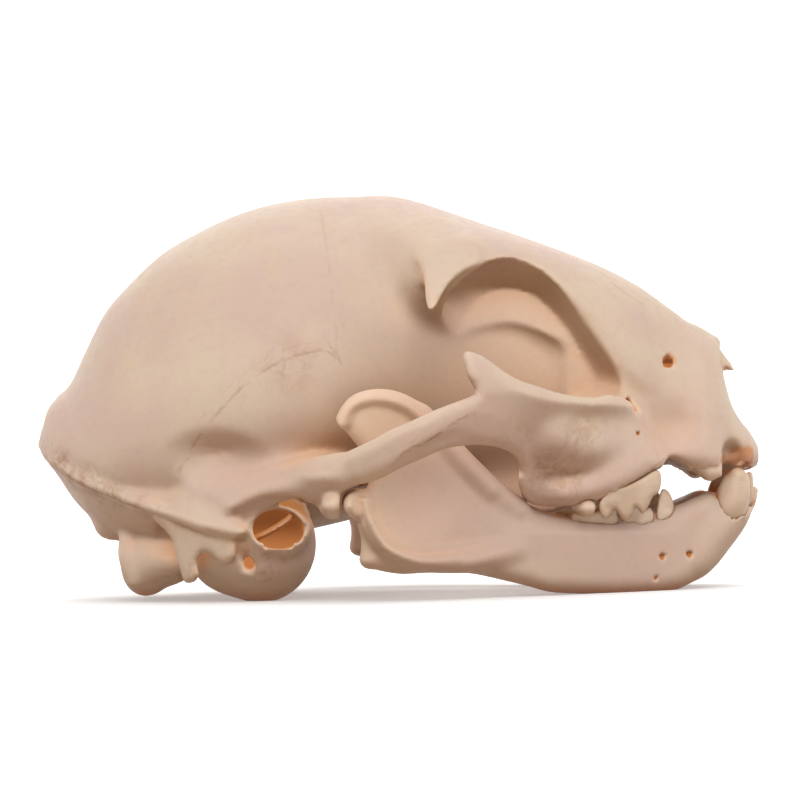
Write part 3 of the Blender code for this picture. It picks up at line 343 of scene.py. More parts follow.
def untangle(field):
    """Fills the few grid corners where the surface would touch itself, so that the mesh is closed."""
    for _ in range(12):
        inside = field < 0
        bad = []
        for a, b in ((0, 1), (0, 2), (1, 2)):
            corner = [shifted(inside, {a: i, b: j}) for i, j in ((0, 0), (1, 0), (1, 1), (0, 1))]
            crossed = (corner[0] == corner[2]) & (corner[1] == corner[3]) & (corner[0] != corner[1])
            for i, j in ((0, 0), (1, 0), (1, 1), (0, 1)):
                spots = np.argwhere(crossed) + np.eye(3, dtype=int)[a] * i + np.eye(3, dtype=int)[b] * j
                bad.append(spots)
        count = sum(shifted(inside, dict(enumerate(c))).astype(np.int8) for c in np.ndindex(2, 2, 2))
        for c in ((0, 0, 0), (1, 0, 0), (0, 1, 0), (0, 0, 1)):
            far = tuple(1 - k for k in c)
            one, other = shifted(inside, dict(enumerate(c))), shifted(inside, dict(enumerate(far)))
            lonely = ((count == 2) & one & other) | ((count == 6) & ~one & ~other)
            for corner in (c, far, (c[0], c[1], far[2]), (far[0], c[1], c[2])):
                bad.append(np.argwhere(lonely) + np.array(corner))
        spots = np.concatenate(bad)
        if not len(spots):
            break
        spots = tuple(spots.T)
        field[spots] = np.minimum(field[spots], -1e-3)
    return field


def shifted(block, moves):
    """The block without its last layer, or without its first where moves says 1, along each axis."""
    parts = [slice(None)] * 3
    for axis, move in moves.items():
        parts[axis] = slice(1, None) if move else slice(None, -1)
    return block[tuple(parts)]


def skin(clay):
    """The closed surface of the clay, as points and four-sided faces."""
    low = [axis[0] for axis in clay.axes]
    field = np.pad(untangle(clay.field), 1, constant_values=FAR)
    inside = field < 0
    count = sum(shifted(inside, dict(enumerate(c))).astype(np.int8) for c in np.ndindex(2, 2, 2))
    mixed = (count > 0) & (count < 8)
    number = np.full(mixed.shape, -1)
    number[mixed] = np.arange(mixed.sum())
    cells = np.argwhere(mixed)
    total, hits = np.zeros((len(cells), 3)), np.zeros(len(cells))
    faces = []
    for axis in range(3):
        b, c = (axis + 1) % 3, (axis + 2) % 3
        along, right, up = np.eye(3, dtype=int)[[axis, b, c]]
        for i, j in ((0, 0), (1, 0), (0, 1), (1, 1)):
            start = cells + right * i + up * j
            near, far = field[tuple(start.T)], field[tuple((start + along).T)]
            crosses = (near < 0) != (far < 0)
            share = np.where(crosses, near / np.where(crosses, near - far, 1), 0)
            total += (start + share[:, None] * along) * crosses[:, None]
            hits += crosses
        enters = shifted(inside, {axis: 0}) != shifted(inside, {axis: 1})
        edges = np.argwhere(enters)
        ring = [number[tuple((edges - right * i - up * j).T)] for i, j in ((1, 1), (0, 1), (0, 0), (1, 0))]
        quads = np.stack(ring, 1)
        outward = inside[tuple(edges.T)]
        faces.append(np.where(outward[:, None], quads, quads[:, ::-1]))
    points = np.array(low) + clay.step * (total / hits[:, None] - 1)
    return main_island(points, np.concatenate(faces))


def main_island(points, faces):
    """The largest connected piece of the surface, without stray specks and sealed bubbles."""
    label = np.arange(len(points))
    settled = False
    while not settled:
        lowest = label.copy()
        np.minimum.at(lowest, faces.ravel(), np.repeat(label[faces].min(1), 4))
        lowest = lowest[lowest]
        settled = bool((lowest == label).all())
        label = lowest
    keep = label == np.bincount(label).argmax()
    number = np.cumsum(keep) - 1
    return points[keep], number[faces[keep[faces[:, 0]]]]


def true_places(points):
    """Moves points from where the side view draws them to where they are."""
    x, y, z = np.array(points, float).T
    turn = math.radians(VIEW_TURN)
    out = np.sqrt(y * y + 4) - 2
    share = (VIEW_DISTANCE + x * math.sin(turn) - out) / VIEW_DISTANCE
    true_x = (x * share - out * math.sin(turn)) / math.cos(turn)
    return np.stack([true_x, y, VIEW_HEIGHT + (z - VIEW_HEIGHT) * share], 1)


def pitched(points):
    """Points in metres, pitched so that the two resting points are level and at height 0."""
    (x0, _, z0), (x1, _, z1) = true_places(REST_POINTS)
    angle = math.atan2(z1 - z0, x1 - x0)
    x, y, z = np.array(points, float).T
    turned_x = x * math.cos(angle) + z * math.sin(angle) - MIDDLE_X
    turned_z = (z - z0) * math.cos(angle) - (x - x0) * math.sin(angle)
    return np.stack([turned_x, y, turned_z], 1) / 1000


def placed(points):
    """Points in metres in the skull's resting place, its ear bulbs and jaws on the ground."""
    return pitched(true_places(points))


class Tooth:
    """A tooth: blades as side outline, middle line, half thickness at the edge and at the gum; and rods."""

    def __init__(self, blades=(), rods=()):
        self.blades = blades
        self.rods = rods

    def shapes(self, gap=0.0):
        """The tooth's shapes, swollen by the gap."""
        for outline, middle, (edge_z, edge, gum_z, gum) in self.blades:

            def across(x, z, middle=middle):
                return curve(x, middle)

            def half(x, z, low=edge_z, thin=edge, high=gum_z, thick=gum):
                share = np.clip((z - low) / (high - low), 0, 1)
                return thin + (thick - thin) * np.sqrt(share) + gap

            yield plate(outline, across, half, 0.7, gap)
        for line in self.rods:
            yield rod([(x, y, z, r + gap) for x, y, z, r in line])


CARNASSIAL_OUTLINE = (
    (24.8, 12.4), (26.0, 13.9), (28.1, 14.4), (30.0, 15.3), (32.0, 16.3), (32.5, 15.2), (32.2, 13.6),
    (31.4, 12.9), (30.8, 11.6), (30.1, 10.8), (29.6, 11.4), (29.2, 11.6), (28.8, 10.6), (28.1, 9.9),
    (27.4, 10.4), (26.7, 11.3), (26.1, 10.5), (25.5, 10.1), (25.0, 10.6), (24.7, 11.6),
)
MOLAR_OUTLINE = (
    (21.2, 10.4), (20.9, 8.9), (21.6, 8.2), (24.0, 7.9), (26.6, 8.0), (27.2, 8.8), (27.0, 10.6), (26.6, 12.0),
    (25.8, 12.9), (25.0, 12.3), (24.3, 11.3), (23.4, 12.2), (22.7, 12.6), (21.8, 11.8),
)
REAR_PREMOLAR_OUTLINE = (
    (27.7, 10.4), (27.6, 8.8), (28.6, 8.2), (30.6, 8.4), (31.4, 9.4), (31.5, 10.8), (31.0, 11.6),
    (30.4, 11.5), (29.9, 12.6), (29.3, 13.2), (28.8, 12.4), (28.4, 11.2),
)
FRONT_PREMOLAR_OUTLINE = (
    (31.9, 10.9), (32.1, 9.6), (33.2, 9.9), (34.0, 11.2), (33.9, 12.6), (33.3, 13.7), (32.6, 13.9),
    (32.2, 12.9),
)
UPPER_TEETH = {
    "upper_canine": Tooth(
        rods=(
            ((37.5, 9.3, 16.9, 1.2), (38.5, 9.1, 16.2, 1.3)),
            ((38.0, 9.0, 17.0, 1.3), (37.6, 7.9, 19.4, 1.2), (37.0, 7.0, 22.5, 0.8)),
            ((39.75, 8.7, 15.7, 0.3), (39.75, 8.8, 18.2, 0.35)),
        ),
    ),
    "upper_carnassial": Tooth(
        blades=((CARNASSIAL_OUTLINE, ((24.5, 16.2), (28.0, 15.3), (32.5, 13.2)), (9.9, 0.4, 14.5, 1.3)),),
        rods=(
            ((26.0, 15.8, 12.6, 1.1), (26.1, 15.3, 15.0, 1.0), (26.3, 14.8, 17.5, 0.6)),
            ((31.0, 13.9, 14.8, 1.1), (30.7, 12.8, 17.0, 0.8), (30.4, 11.6, 19.0, 0.5)),
        ),
    ),
    "upper_molar": Tooth(
        rods=(
            ((23.2, 17.2, 11.6, 1.1), (22.4, 15.8, 11.7, 1.1)),
            ((22.9, 16.6, 12.0, 0.9), (22.8, 16.0, 15.0, 0.6)),
        ),
    ),
}
LOWER_TEETH = {
    "lower_canine": Tooth(
        rods=(
            (
                (42.0, 6.5, 15.5, 1.1),
                (41.7, 6.0, 13.6, 1.6),
                (41.3, 5.6, 12.0, 1.8),
                (40.4, 5.0, 10.2, 1.7),
                (38.2, 4.6, 7.0, 0.9),
            ),
            ((42.7, 6.1, 15.1, 0.8), (42.6, 5.8, 13.2, 0.9), (42.0, 5.4, 11.2, 1.1)),
            ((41.0, 6.1, 15.0, 0.8), (40.5, 5.8, 13.6, 1.0), (40.2, 5.5, 12.4, 1.0)),
        ),
    ),
    "lower_front_premolar": Tooth(
        blades=((FRONT_PREMOLAR_OUTLINE, ((31.5, 9.5), (34.5, 8.3)), (14.0, 0.45, 11.0, 0.9)),),
        rods=(((33.0, 8.9, 10.8, 0.75), (32.8, 8.7, 8.0, 0.5)),),
    ),
    "lower_rear_premolar": Tooth(
        blades=((REAR_PREMOLAR_OUTLINE, ((27.5, 11.4), (31.5, 9.7)), (13.3, 0.4, 10.0, 0.95)),),
        rods=(((29.6, 10.5, 9.8, 1.0), (29.5, 10.4, 6.4, 0.5)),),
    ),
    "lower_molar": Tooth(
        blades=((MOLAR_OUTLINE, ((21.0, 14.2), (27.2, 11.7)), (12.9, 0.4, 9.8, 1.0)),),
        rods=(
            ((22.6, 13.5, 9.4, 0.9), (22.5, 13.4, 6.6, 0.5)),
            ((25.6, 12.3, 9.4, 0.9), (25.6, 12.2, 6.6, 0.5)),
        ),
    ),
    "lower_inner_incisor": Tooth(
        rods=(((44.3, 0.8, 13.7, 0.4), (43.9, 0.8, 12.2, 0.5), (42.9, 0.95, 10.0, 0.4)),)
    ),
    "lower_middle_incisor": Tooth(
        rods=(((44.15, 2.0, 13.8, 0.42), (43.75, 2.0, 12.3, 0.5), (42.8, 2.0, 10.0, 0.4)),)
    ),
    "lower_outer_incisor": Tooth(
        rods=(((43.5, 3.6, 15.6, 0.45), (43.5, 3.3, 13.4, 0.5), (42.7, 3.0, 10.6, 0.35)),)
    ),
}


def tooth_clay(tooth, step):
    """One tooth, its crown and roots run together."""
    shapes = list(tooth.shapes())
    middles = [np.array(line)[:, :3] for line in tooth.rods]
    lows = [shape.low for shape in shapes] + [points.min(0) for points in middles]
    highs = [shape.high for shape in shapes] + [points.max(0) for points in middles]
    low, high = np.min(lows, 0) - 0.6, np.max(highs, 0) + 0.6
    clay = Clay(low, high, step)
    for shape in shapes:
        clay.add(shape, 0.5)
    return clay


def cut_sockets(clay, teeth, gap):
    """Cuts each tooth's shape out of the bone it stands in or near, with a gap all round."""
    for tooth in teeth.values():
        for shape in tooth.shapes(gap):
            clay.cut(shape, 0.2)


def jaw_condyle(swell=0.0):
    """The roller of the lower jaw, across the skull, that turns in the hollow under the cheek arch."""
    ends = (
        (-5.9, 17.8, 12.3, 1.3), (-5.7, 20.5, 12.3, 1.6), (-5.5, 24.0, 12.2, 1.8), (-5.4, 27.0, 11.9, 1.7),
    )
    return rod([(x, y, z, r + swell) for x, y, z, r in ends])


def cheek_arch():
    """The arch from the ear to the face, with the cheek below the eye."""

    def thickness(x, z):
        return curve(x, ((-12.0, 1.9), (-4.0, 1.5), (10.0, 1.5), (18.0, 1.9), (26.0, 2.4), (32.0, 2.0)))

    def middle(x, z):
        share = np.clip((x - 6.0) / 12.0, 0, 1)
        under = 0.022 * np.maximum(25.0 - z, 0) ** 2 * share * share * (3 - 2 * share)
        above = np.clip(z - curve(x, ARCH_MIDDLE), -5.0, 5.0)
        lean = np.where(above > 0, curve(x, ARCH_LEAN), 0.3) * above
        return curve(x, ARCH_OUTSIDE) - thickness(x, z) - 0.25 * np.maximum(z - 26.0, 0) - under + lean

    return plate(ARCH, middle, thickness, 1.5)


def orbit():
    """The eye socket with the open space below it. It narrows inward like a funnel."""
    eye_x, eye_z, rim_y, taper = 12.0, 31.0, 13.5, 0.055

    def distance(x, y, z):
        scale = 1 - taper * np.maximum(rim_y - y, 0)
        flat_x, flat_z = eye_x + (x - eye_x) / scale, eye_z + (z - eye_z) / scale
        wall = 9.5 - 0.3 * np.maximum(z - 33.0, 0) - y
        return np.maximum(outline_distance(ORBIT, flat_x, flat_z) * scale, wall)

    return Shape(distance, (2.0, 6.0, 8.0), (29.0, 34.0, 43.5))


def add_bodies(clay):
    """The braincase, the forehead over the eyes and the muzzle, with the eye sockets cut out."""
    clay.add(body(FOREHEAD, 2.3), 0.5, even=True)
    clay.add(body(MUZZLE, 2.5), 1.2, even=True)
    gum = ((16.5, 17.4, 14.0, 1.6), (21.0, 17.3, 13.6, 1.8), (26.0, 15.8, 15.2, 2.2), (30.6, 13.2, 17.8, 2.2),
           (33.6, 11.2, 19.5, 1.9), (36.0, 9.5, 18.9, 2.0))
    clay.add(rod(gum), 2.0)
    clay.add(rod([(17.5, 16.6, 14.8, 1.3), (20.0, 16.0, 14.8, 1.9), (24.0, 13.0, 17.5, 3.0)]), 1.5)
    clay.cut(orbit(), 0.4)
    clay.add(body(CORE), 2.5, even=True)


def add_ridges(clay):
    """The brow's pointed process, the crest across the nape, the shelf and the flange by the ear."""
    brow = plate(BROW, lambda x, z: 21.2 - 0.85 * (z - 36.0), lambda x, z: 0.9 + 0.12 * (z - 36.0), 0.9)
    clay.add(brow, 1.5)
    crest = (
        (-44.3, 0.0, 19.3, 0.8), (-43.7, 4.0, 18.3, 0.8), (-42.3, 7.7, 16.9, 0.8), (-40.2, 10.7, 15.4, 0.8),
        (-37.0, 13.3, 14.0, 0.8), (-34.0, 15.0, 12.8, 0.8), (-31.0, 16.8, 11.7, 0.8),
        (-28.0, 18.1, 10.7, 0.8), (-25.0, 19.1, 9.6, 0.9), (-22.0, 19.6, 8.9, 0.9), (-20.4, 19.4, 8.5, 0.9),
    )
    clay.add(rod(crest), 1.0)
    shelf = (
        (-24.5, 17.6, 13.4, 1.0), (-19.5, 18.8, 13.6, 1.5), (-15.5, 20.4, 14.2, 1.8),
        (-11.5, 22.6, 15.4, 1.8), (-8.0, 26.0, 16.6, 1.5),
    )
    clay.add(rod(shelf), 4.0)
    clay.add(rod([(-26.5, 16.6, 11.6, 1.6), (-22.0, 17.2, 11.6, 2.0), (-18.5, 17.4, 12.4, 2.0)]), 2.0)

    def middle(x, z):
        out = curve(x, ((-30.6, 14.8), (-27.0, 16.2), (-24.0, 18.0), (-21.0, 19.0), (-20.0, 18.8)))
        return out - 0.12 * (10 - z)

    clay.add(plate(EAR_FLANGE, middle, lambda x, z: 1.0 + 0 * x, 1.0, 0.15), 0.8)


def add_arch(clay):
    """The cheek arch with its root over the jaw's roller, and the hollow under its front half."""
    clay.add(ball((-8.2, 21.5, 15.4), (4.6, 6.5, 2.4)), 2.0)
    clay.add(rod([(-8.9, 18.5, 12.2, 1.1), (-8.7, 22.0, 11.5, 1.2), (-8.5, 26.5, 11.9, 1.2)]), 1.0)
    clay.add(cheek_arch(), 1.2, even=True)
    under_keel = (
        (-4.0, 31.6, 12.8, 1.6), (0.0, 32.6, 15.2, 2.2), (4.0, 32.8, 18.0, 2.4), (7.2, 32.3, 19.3, 2.4),
        (11.2, 30.6, 18.8, 2.4), (14.0, 28.4, 17.6, 2.4), (15.6, 26.6, 15.4, 2.1), (16.8, 25.0, 12.8, 1.8),
    )
    clay.cut(rod(under_keel), 0.5)
    clay.add(rod([(26.5, 12.0, 19.5, 4.5), (22.0, 17.0, 19.6, 3.8), (18.5, 21.0, 20.6, 2.8)]), 2.0)
    clay.cut(jaw_condyle(JAW_JOINT_GAP), 0.3)
    clay.cut(ball((-3.3, 24.2, 15.2), (2.2, 2.2, 2.8)), 0.5)


def add_base(clay):
    """Ear bulbs, the knuckles for the neck, and the plates behind the palate."""
    clay.add(ball((-17.5, 12.0, 7.0), (7.0, 6.2, 7.25), yaw=-12), 0.8)
    clay.add(ball((-21.4, 11.2, 6.8), (5.2, 5.2, 5.8)), 1.5)
    clay.add(rod([(-15.6, 13.5, 8.8, 3.7), (-15.2, 17.0, 9.0, 3.7)], (1.15, 1.0, 0.92)), 1.2)
    clay.add(ball((-31.2, 7.2, 5.3), (3.6, 3.9, 4.8), pitch=-15), 1.2)
    clay.add(ball((-28.6, 8.2, 5.2), (3.0, 3.0, 3.2)), 1.2)
    clay.add(ball((-36.4, 5.2, 9.0), (2.0, 2.4, 1.9)), 1.5)
    clay.cut(ball((-28.9, 13.2, 7.4), (2.2, 2.0, 2.6)), 0.8)
    clay.add(plate(WING, lambda x, z: 5.2 + 0 * x, lambda x, z: 0.75 + 0 * x, 0.6), 1.2)
    clay.cut(rod([(-1.0, 0.0, 10.0, 2.6), (12.0, 0.0, 12.8, 3.0)], (1.0, 1.2, 0.8)), 1.0)


def hollow_out(clay):
    """The brain space and its way out to the neck, the ears, the nose and the small holes of the face."""
    inner = body(CORE)

    def cavity(x, y, z):
        floor = 13.6 - 0.12 * (x + 44.0) - z + 0.42 * np.maximum(x + 16.0, 0)
        walls = inner.distance(x, y, z) + BRAINCASE_WALL
        return soft_max(soft_max(walls, x - 3.0, 3.0), np.where(x > -16.0, floor, -FAR), 2.0)

    clay.cut(Shape(cavity, (-46.0, 0.0, 4.0), (4.0, 22.0, 52.0)), 0.5, even=True)
    clay.cut(rod([(-43.0, 0.0, 5.4, 5.6), (-27.0, 0.0, 11.0, 5.6)], (1.0, 1.15, 0.98)), 0.8)
    clay.add(ball((-18.5, 11.5, 13.4), (7.0, 6.0, 2.4)), 1.5)
    clay.cut(ball((-17.5, 12.2, 6.6), (7.0 - BULB_WALL, 6.1 - BULB_WALL, 6.6 - BULB_WALL), yaw=-12), 0.3)
    clay.cut(rod([(-15.3, 13.0, 8.8, 2.8), (-15.1, 23.0, 9.0, 2.8)], (1.15, 1.0, 0.88)), 0.4)
    nose = ((47.0, 0.0, 26.0, 3.2), (38.0, 0.0, 26.6, 3.8), (30.0, 0.0, 27.5, 4.6), (21.0, 0.0, 27.0, 5.2),
            (15.0, 0.0, 25.0, 4.6))
    clay.cut(rod(nose, (1.0, 1.0, 1.25)), 0.6)
    clay.cut(rod([(15.0, 0.0, 24.0, 4.0), (11.5, 0.0, 17.5, 3.6), (8.0, 0.0, 11.5, 3.4)]), 0.8)
    clay.cut(ball((41.4, 8.2, 17.6), (1.5, 2.6, 2.3)), 0.8)
    clay.cut(ball((34.2, 13.6, 21.5), (2.8, 3.2, 4.2)), 2.0)
    clay.cut(rod([(30.6, 16.0, 24.5, 0.65), (26.5, 11.0, 24.0, 0.65)], (0.8, 1.0, 1.6)), 0.3)


def add_nose(clay):
    """The broken points of the nose bones and the swelling round the root of the canine."""
    clay.add(rod([(38.2, 3.7, 31.8, 0.9), (40.0, 4.1, 30.0, 0.7), (41.3, 4.2, 28.9, 0.35)]), 0.6)
    clay.add(rod([(36.5, 1.4, 33.4, 0.9), (39.4, 1.3, 32.2, 0.5)], (1.0, 2.0, 1.0)), 0.8)
    clay.add(rod([(37.2, 8.3, 22.6, 2.0), (37.9, 8.9, 18.0, 2.4)]), 1.5)


def build_cranium(material):
    """The upper skull: its left half with its mirror image, and the hole that only the right side has."""
    half = Clay((-46.5, 0.0, -1.5), (46.5, 33.5, 52.0), BONE_STEP)
    add_bodies(half)
    add_ridges(half)
    add_arch(half)
    add_base(half)
    add_nose(half)
    hollow_out(half)
    add_cranium_details(half)
    cut_sockets(half, {**UPPER_TEETH, **LOWER_TEETH}, SOCKET_GAP)
    whole = half.unfolded()
    add_right_details(whole)
    points, faces = skin(whole)
    dressed("cranium", points, faces, material, SEAMS)


def build_jaw(material):
    """The left half of the lower jaw, from its condyle and coronoid plate to the chin, and its mirror."""
    clay = Clay((-10.0, 0.0, -1.0), (46.5, 31.0, 28.0), JAW_STEP)

    def middle(x, z):
        at_teeth = np.clip((x - 12.0) / 4.0, 0, 1) * np.clip((36.0 - x) / 4.0, 0, 1)
        inward = 0.35 * np.clip(z - 8.5, 0, 3) * at_teeth
        return curve(x, JAW_MIDDLE) - inward

    def half(x, z):
        low_rear = np.clip((6.0 - z) / 3.0, 0, 1) * np.clip((8.0 - x) / 8.0, 0, 1)
        return curve(x, JAW_HALF_THICKNESS) + 0.5 * low_rear

    clay.add(plate(JAW, middle, half, 2.3), 1.0, even=True)
    front_edge = (
        (3.0, 23.4, 23.4, 0.6), (6.6, 22.2, 18.9, 0.9), (10.6, 20.2, 14.8, 1.1), (14.5, 18.0, 11.6, 1.2),
    )
    clay.add(rod(front_edge), 1.5)
    hollow_rim = (
        (-4.4, 26.6, 11.2, 0.9), (-3.8, 26.0, 9.0, 0.9), (-2.6, 25.6, 7.2, 0.9), (-0.6, 25.2, 5.7, 0.9),
        (3.0, 24.4, 4.9, 1.1), (8.0, 22.4, 5.0, 1.4), (14.0, 18.6, 6.4, 1.2),
    )
    clay.add(rod(hollow_rim), 1.4)
    clay.add(rod([(-4.8, 24.2, 11.5, 1.0), (-4.0, 24.2, 8.0, 0.9), (-4.0, 24.2, 5.2, 1.0)]), 1.0)
    clay.add(jaw_condyle(), 0.8)
    clay.cut(ball((2.2, 26.7, 13.2), (8.6, 3.2, 8.2), yaw=-15), 0.8)
    rim = ((-7.0, 24.6, 22.6, 0.5), (-5.6, 24.5, 24.8, 0.6), (-2.6, 24.3, 25.4, 0.7), (0.8, 23.9, 24.5, 0.8),
           (4.2, 23.0, 21.6, 0.9), (7.4, 21.8, 17.8, 1.0), (11.0, 20.2, 14.0, 1.0))
    clay.add(rod(rim), 1.2)
    clay.cut(ball((-4.4, 28.9, 10.4), (1.5, 1.8, 1.7)), 0.8)
    clay.add(rod([(36.5, 5.6, 5.7, 2.4), (39.2, 5.0, 8.9, 2.5), (41.0, 4.8, 10.9, 2.2)]), 1.5)
    clay.add(ball((37.6, 1.6, 7.8), (4.8, 3.2, 2.3), pitch=48), 1.2)
    add_jaw_details(clay)
    cut_sockets(clay, LOWER_TEETH, SOCKET_GAP)
    gap = HALF_CHIN_GAP - clay.axes[1][None, :, None]
    clay.field = np.maximum(clay.field, gap).astype(np.float32)
    dressed_pair("mandible", clay, material)


def build_teeth(material):
    """Every tooth, left and right."""
    for name, tooth in {**UPPER_TEETH, **LOWER_TEETH}.items():
        dressed_pair(name, tooth_clay(tooth, TOOTH_STEP), material)


def add_cranium_details(clay):
    """Small holes and grooves on both sides: empty sockets, nerve holes, creases, the ear's inside."""
    for x, y, z, r in ((43.9, 0.95, 16.4, 0.5), (43.5, 2.5, 16.4, 0.6), (42.9, 4.4, 16.4, 0.75)):
        clay.cut(rod([(x + 0.6, y, z - 1.5, r), (x - 0.6, y, z + 1.6, r * 0.8)]), 0.2)
    clay.cut(rod([(38.2, 1.9, 12.0, 0.7), (38.2, 1.9, 20.5, 0.7)], (2.0, 1.0, 1.0)), 0.3)
    clay.cut(rod([(29.75, 18.0, 20.9, 0.3), (29.3, 13.0, 20.7, 0.3)]), 0.15)
    clay.cut(rod([(26.7, 12.0, 30.4, 0.5), (27.6, 10.0, 29.6, 0.4)], (0.8, 1.0, 1.6)), 0.2)
    clay.cut(rod([(18.6, 25.4, 13.6, 1.5), (20.4, 24.0, 15.0, 1.2), (22.6, 22.4, 17.0, 0.8)]), 0.8)
    clay.cut(ball((-24.5, 21.6, 17.4), (7.5, 3.1, 3.4)), 1.5)
    shelf_edge = (
        (-21.0, 19.6, 11.9, 0.8), (-16.8, 20.4, 13.2, 0.9), (-13.0, 22.4, 13.9, 0.9), (-9.6, 25.0, 13.8, 0.8),
    )
    clay.add(rod(shelf_edge), 1.5)
    clay.add(rod([(-33.0, 14.4, 12.4, 0.9), (-30.2, 15.4, 12.6, 1.0), (-27.6, 16.0, 12.6, 0.9)]), 1.5)
    clay.cut(rod([(-20.2, 20.6, 10.6, 0.7), (-16.6, 21.4, 12.0, 0.8), (-12.8, 22.6, 12.2, 0.8)]), 0.8)
    clay.cut(rod([(-24.2, 20.6, 8.0, 0.8), (-21.8, 20.9, 7.3, 0.9), (-20.0, 20.4, 7.0, 0.8)]), 0.5)
    clay.cut(rod([(-20.1, 19.4, 7.2, 0.8), (-19.6, 18.4, 5.6, 0.8), (-18.9, 17.4, 4.4, 0.7)]), 0.6)
    ear_partition = ((-18.4, 14.2, 7.6, 0.45), (-15.6, 14.8, 9.0, 0.45), (-12.2, 14.2, 11.4, 0.45))
    clay.add(rod(ear_partition, (1.0, 2.4, 1.0)), 0.4)
    clay.add(rod([(-34.0, 9.2, 8.6, 0.9), (-34.3, 9.6, 5.6, 0.9), (-33.3, 9.6, 2.4, 0.8)]), 1.0)


def add_right_details(clay):
    """The star-shaped hole in the right side of the muzzle."""
    middle_x, middle_z, drop, fifth = 33.3, 30.2, 0.8, 1.2566
    clay.cut(rod([(middle_x, -16.0, middle_z, 0.62), (middle_x, -5.0, middle_z - drop, 0.62)]), 0.1)
    for corner in range(5):
        turn = corner * fifth + 0.4
        x, z = middle_x + 0.5 * math.cos(turn), middle_z + 0.5 * math.sin(turn)
        clay.cut(rod([(x, -16.0, z, 0.3), (x, -5.0, z - drop, 0.3)]), 0.05)


def add_jaw_details(clay):
    """The sharp ridges of the jaw's rear, and nerve holes in its outer and inner face."""
    ridge = (
        (-4.4, 27.2, 12.6, 0.4), (-4.0, 27.1, 10.4, 0.4), (-2.8, 26.8, 8.0, 0.45), (-1.2, 26.4, 6.3, 0.45),
        (2.5, 25.4, 5.0, 0.45), (7.0, 23.9, 5.2, 0.3),
    )
    clay.add(rod(ridge), 0.9)
    rim = ((-7.2, 25.2, 22.0, 0.4), (-6.2, 25.3, 24.2, 0.5), (-3.2, 25.1, 25.2, 0.5), (0.4, 24.8, 24.4, 0.5),
           (3.2, 24.2, 22.2, 0.5))
    clay.add(rod(rim), 0.8)
    for x, z, y, r in ((32.9, 5.6, 11.5, 0.4), (36.3, 5.9, 9.8, 0.4), (32.0, 2.9, 11.5, 0.25)):
        clay.cut(rod([(x + 0.3, y + 1.5, z, r), (x - 0.8, y - 2.6, z - 0.2, r)]), 0.15)
    clay.cut(rod([(1.0, 20.0, 9.2, 0.7), (3.6, 22.2, 8.6, 0.5)], (1.4, 1.0, 1.0)), 0.2)


def neighbours(points, faces):
    """Each edge of the faces, once each way."""
    edges = np.concatenate([faces[:, (i, (i + 1) % 4)] for i in range(4)])
    return edges[:, 0], edges[:, 1]


def averaged(values, start, end, rounds):
    """The values, averaged with their neighbours on the surface in that many rounds."""
    count = len(values)
    degree = np.bincount(start, minlength=count)[:, None]
    for _ in range(rounds):
        total = np.stack([np.bincount(start, values[end, k], count) for k in range(values.shape[1])], 1)
        values = 0.5 * values + 0.5 * total / degree
    return values


def point_normals(points, faces):
    """The outward direction at each point."""
    a, b, c, d = (points[faces[:, k]] for k in range(4))
    across = np.cross(c - a, d - b)
    total = np.zeros_like(points)
    for k in range(4):
        for axis in range(3):
            total[:, axis] += np.bincount(faces[:, k], across[:, axis], len(points))
    return total / (np.linalg.norm(total, axis=1)[:, None] + 1e-12)


def seam_marks(points, normals, faces, seams):
    """For each point: its signed distance across the nearest seam, how surely it's on one, and its depth."""
    tree = BVHTree.FromPolygons(points.tolist(), faces.tolist())
    spots, ways, marks = [], [], []
    for start, aim, depth, line in seams:
        line = round_line(line, False, 12)
        path = []
        for point in line:
            hit = tree.ray_cast(Vector(start(point)), Vector(aim))
            if hit[0] is not None:
                path.append(np.array(hit[0]))
        for a, b in zip(path, path[1:]):
            if np.linalg.norm(b - a) < 3:
                for share in np.arange(0, 1, 0.2 / max(np.linalg.norm(b - a), 0.2)):
                    spots.append(a + (b - a) * share)
                    ways.append((b - a) / (np.linalg.norm(b - a) + 1e-9))
                    marks.append(depth)
    found = np.zeros((len(points), 3))
    found[:, 0] = 9.0
    if not spots:
        return found
    nearest = KDTree(len(spots))
    for i, spot in enumerate(spots):
        nearest.insert(spot, i)
    nearest.balance()
    for i, point in enumerate(points):
        _, index, gap = nearest.find(point)
        if gap < SEAM_REACH:
            offset = point - spots[index]
            side = np.dot(np.cross(ways[index], normals[i]), offset)
            along = abs(np.dot(ways[index], offset))
            sure = min(1.0, (SEAM_REACH - gap) / 0.4) * max(0.0, 1 - along / 0.5)
            found[i] = side, sure, marks[index]
    return found


def spot_reach(points, spots):
    """How strongly the nearest spot reaches each point. One with a negative Y is on the right side only."""
    found = np.zeros(len(points))
    both = np.stack([points[:, 0], np.abs(points[:, 1]), points[:, 2]], 1)
    for x, y, z, reach, strength in spots:
        gap = np.linalg.norm((points if y < 0 else both) - (x, y, z), axis=1)
        found = np.maximum(found, strength * np.clip(1.5 - gap / reach, 0, 1))
    return found


def from_side(point):
    """Where the ray starts that lays this point of a seam's line on the skull's left side."""
    return (point[0], 60.0, point[1])


def from_right(point):
    return (point[0], -60.0, point[1])


def from_above(point):
    return (point[0], point[1], 80.0)


def from_below(point):
    return (point[0], point[1], -20.0)


LEFT, RIGHT, DOWN, UP = (0, -1, 0), (0, 1, 0), (0, 0, -1), (0, 0, 1)


def seat(piece, name):
    """Lets the piece ride on the skull in its solid's place."""
    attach(piece, "root")
    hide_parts(name)


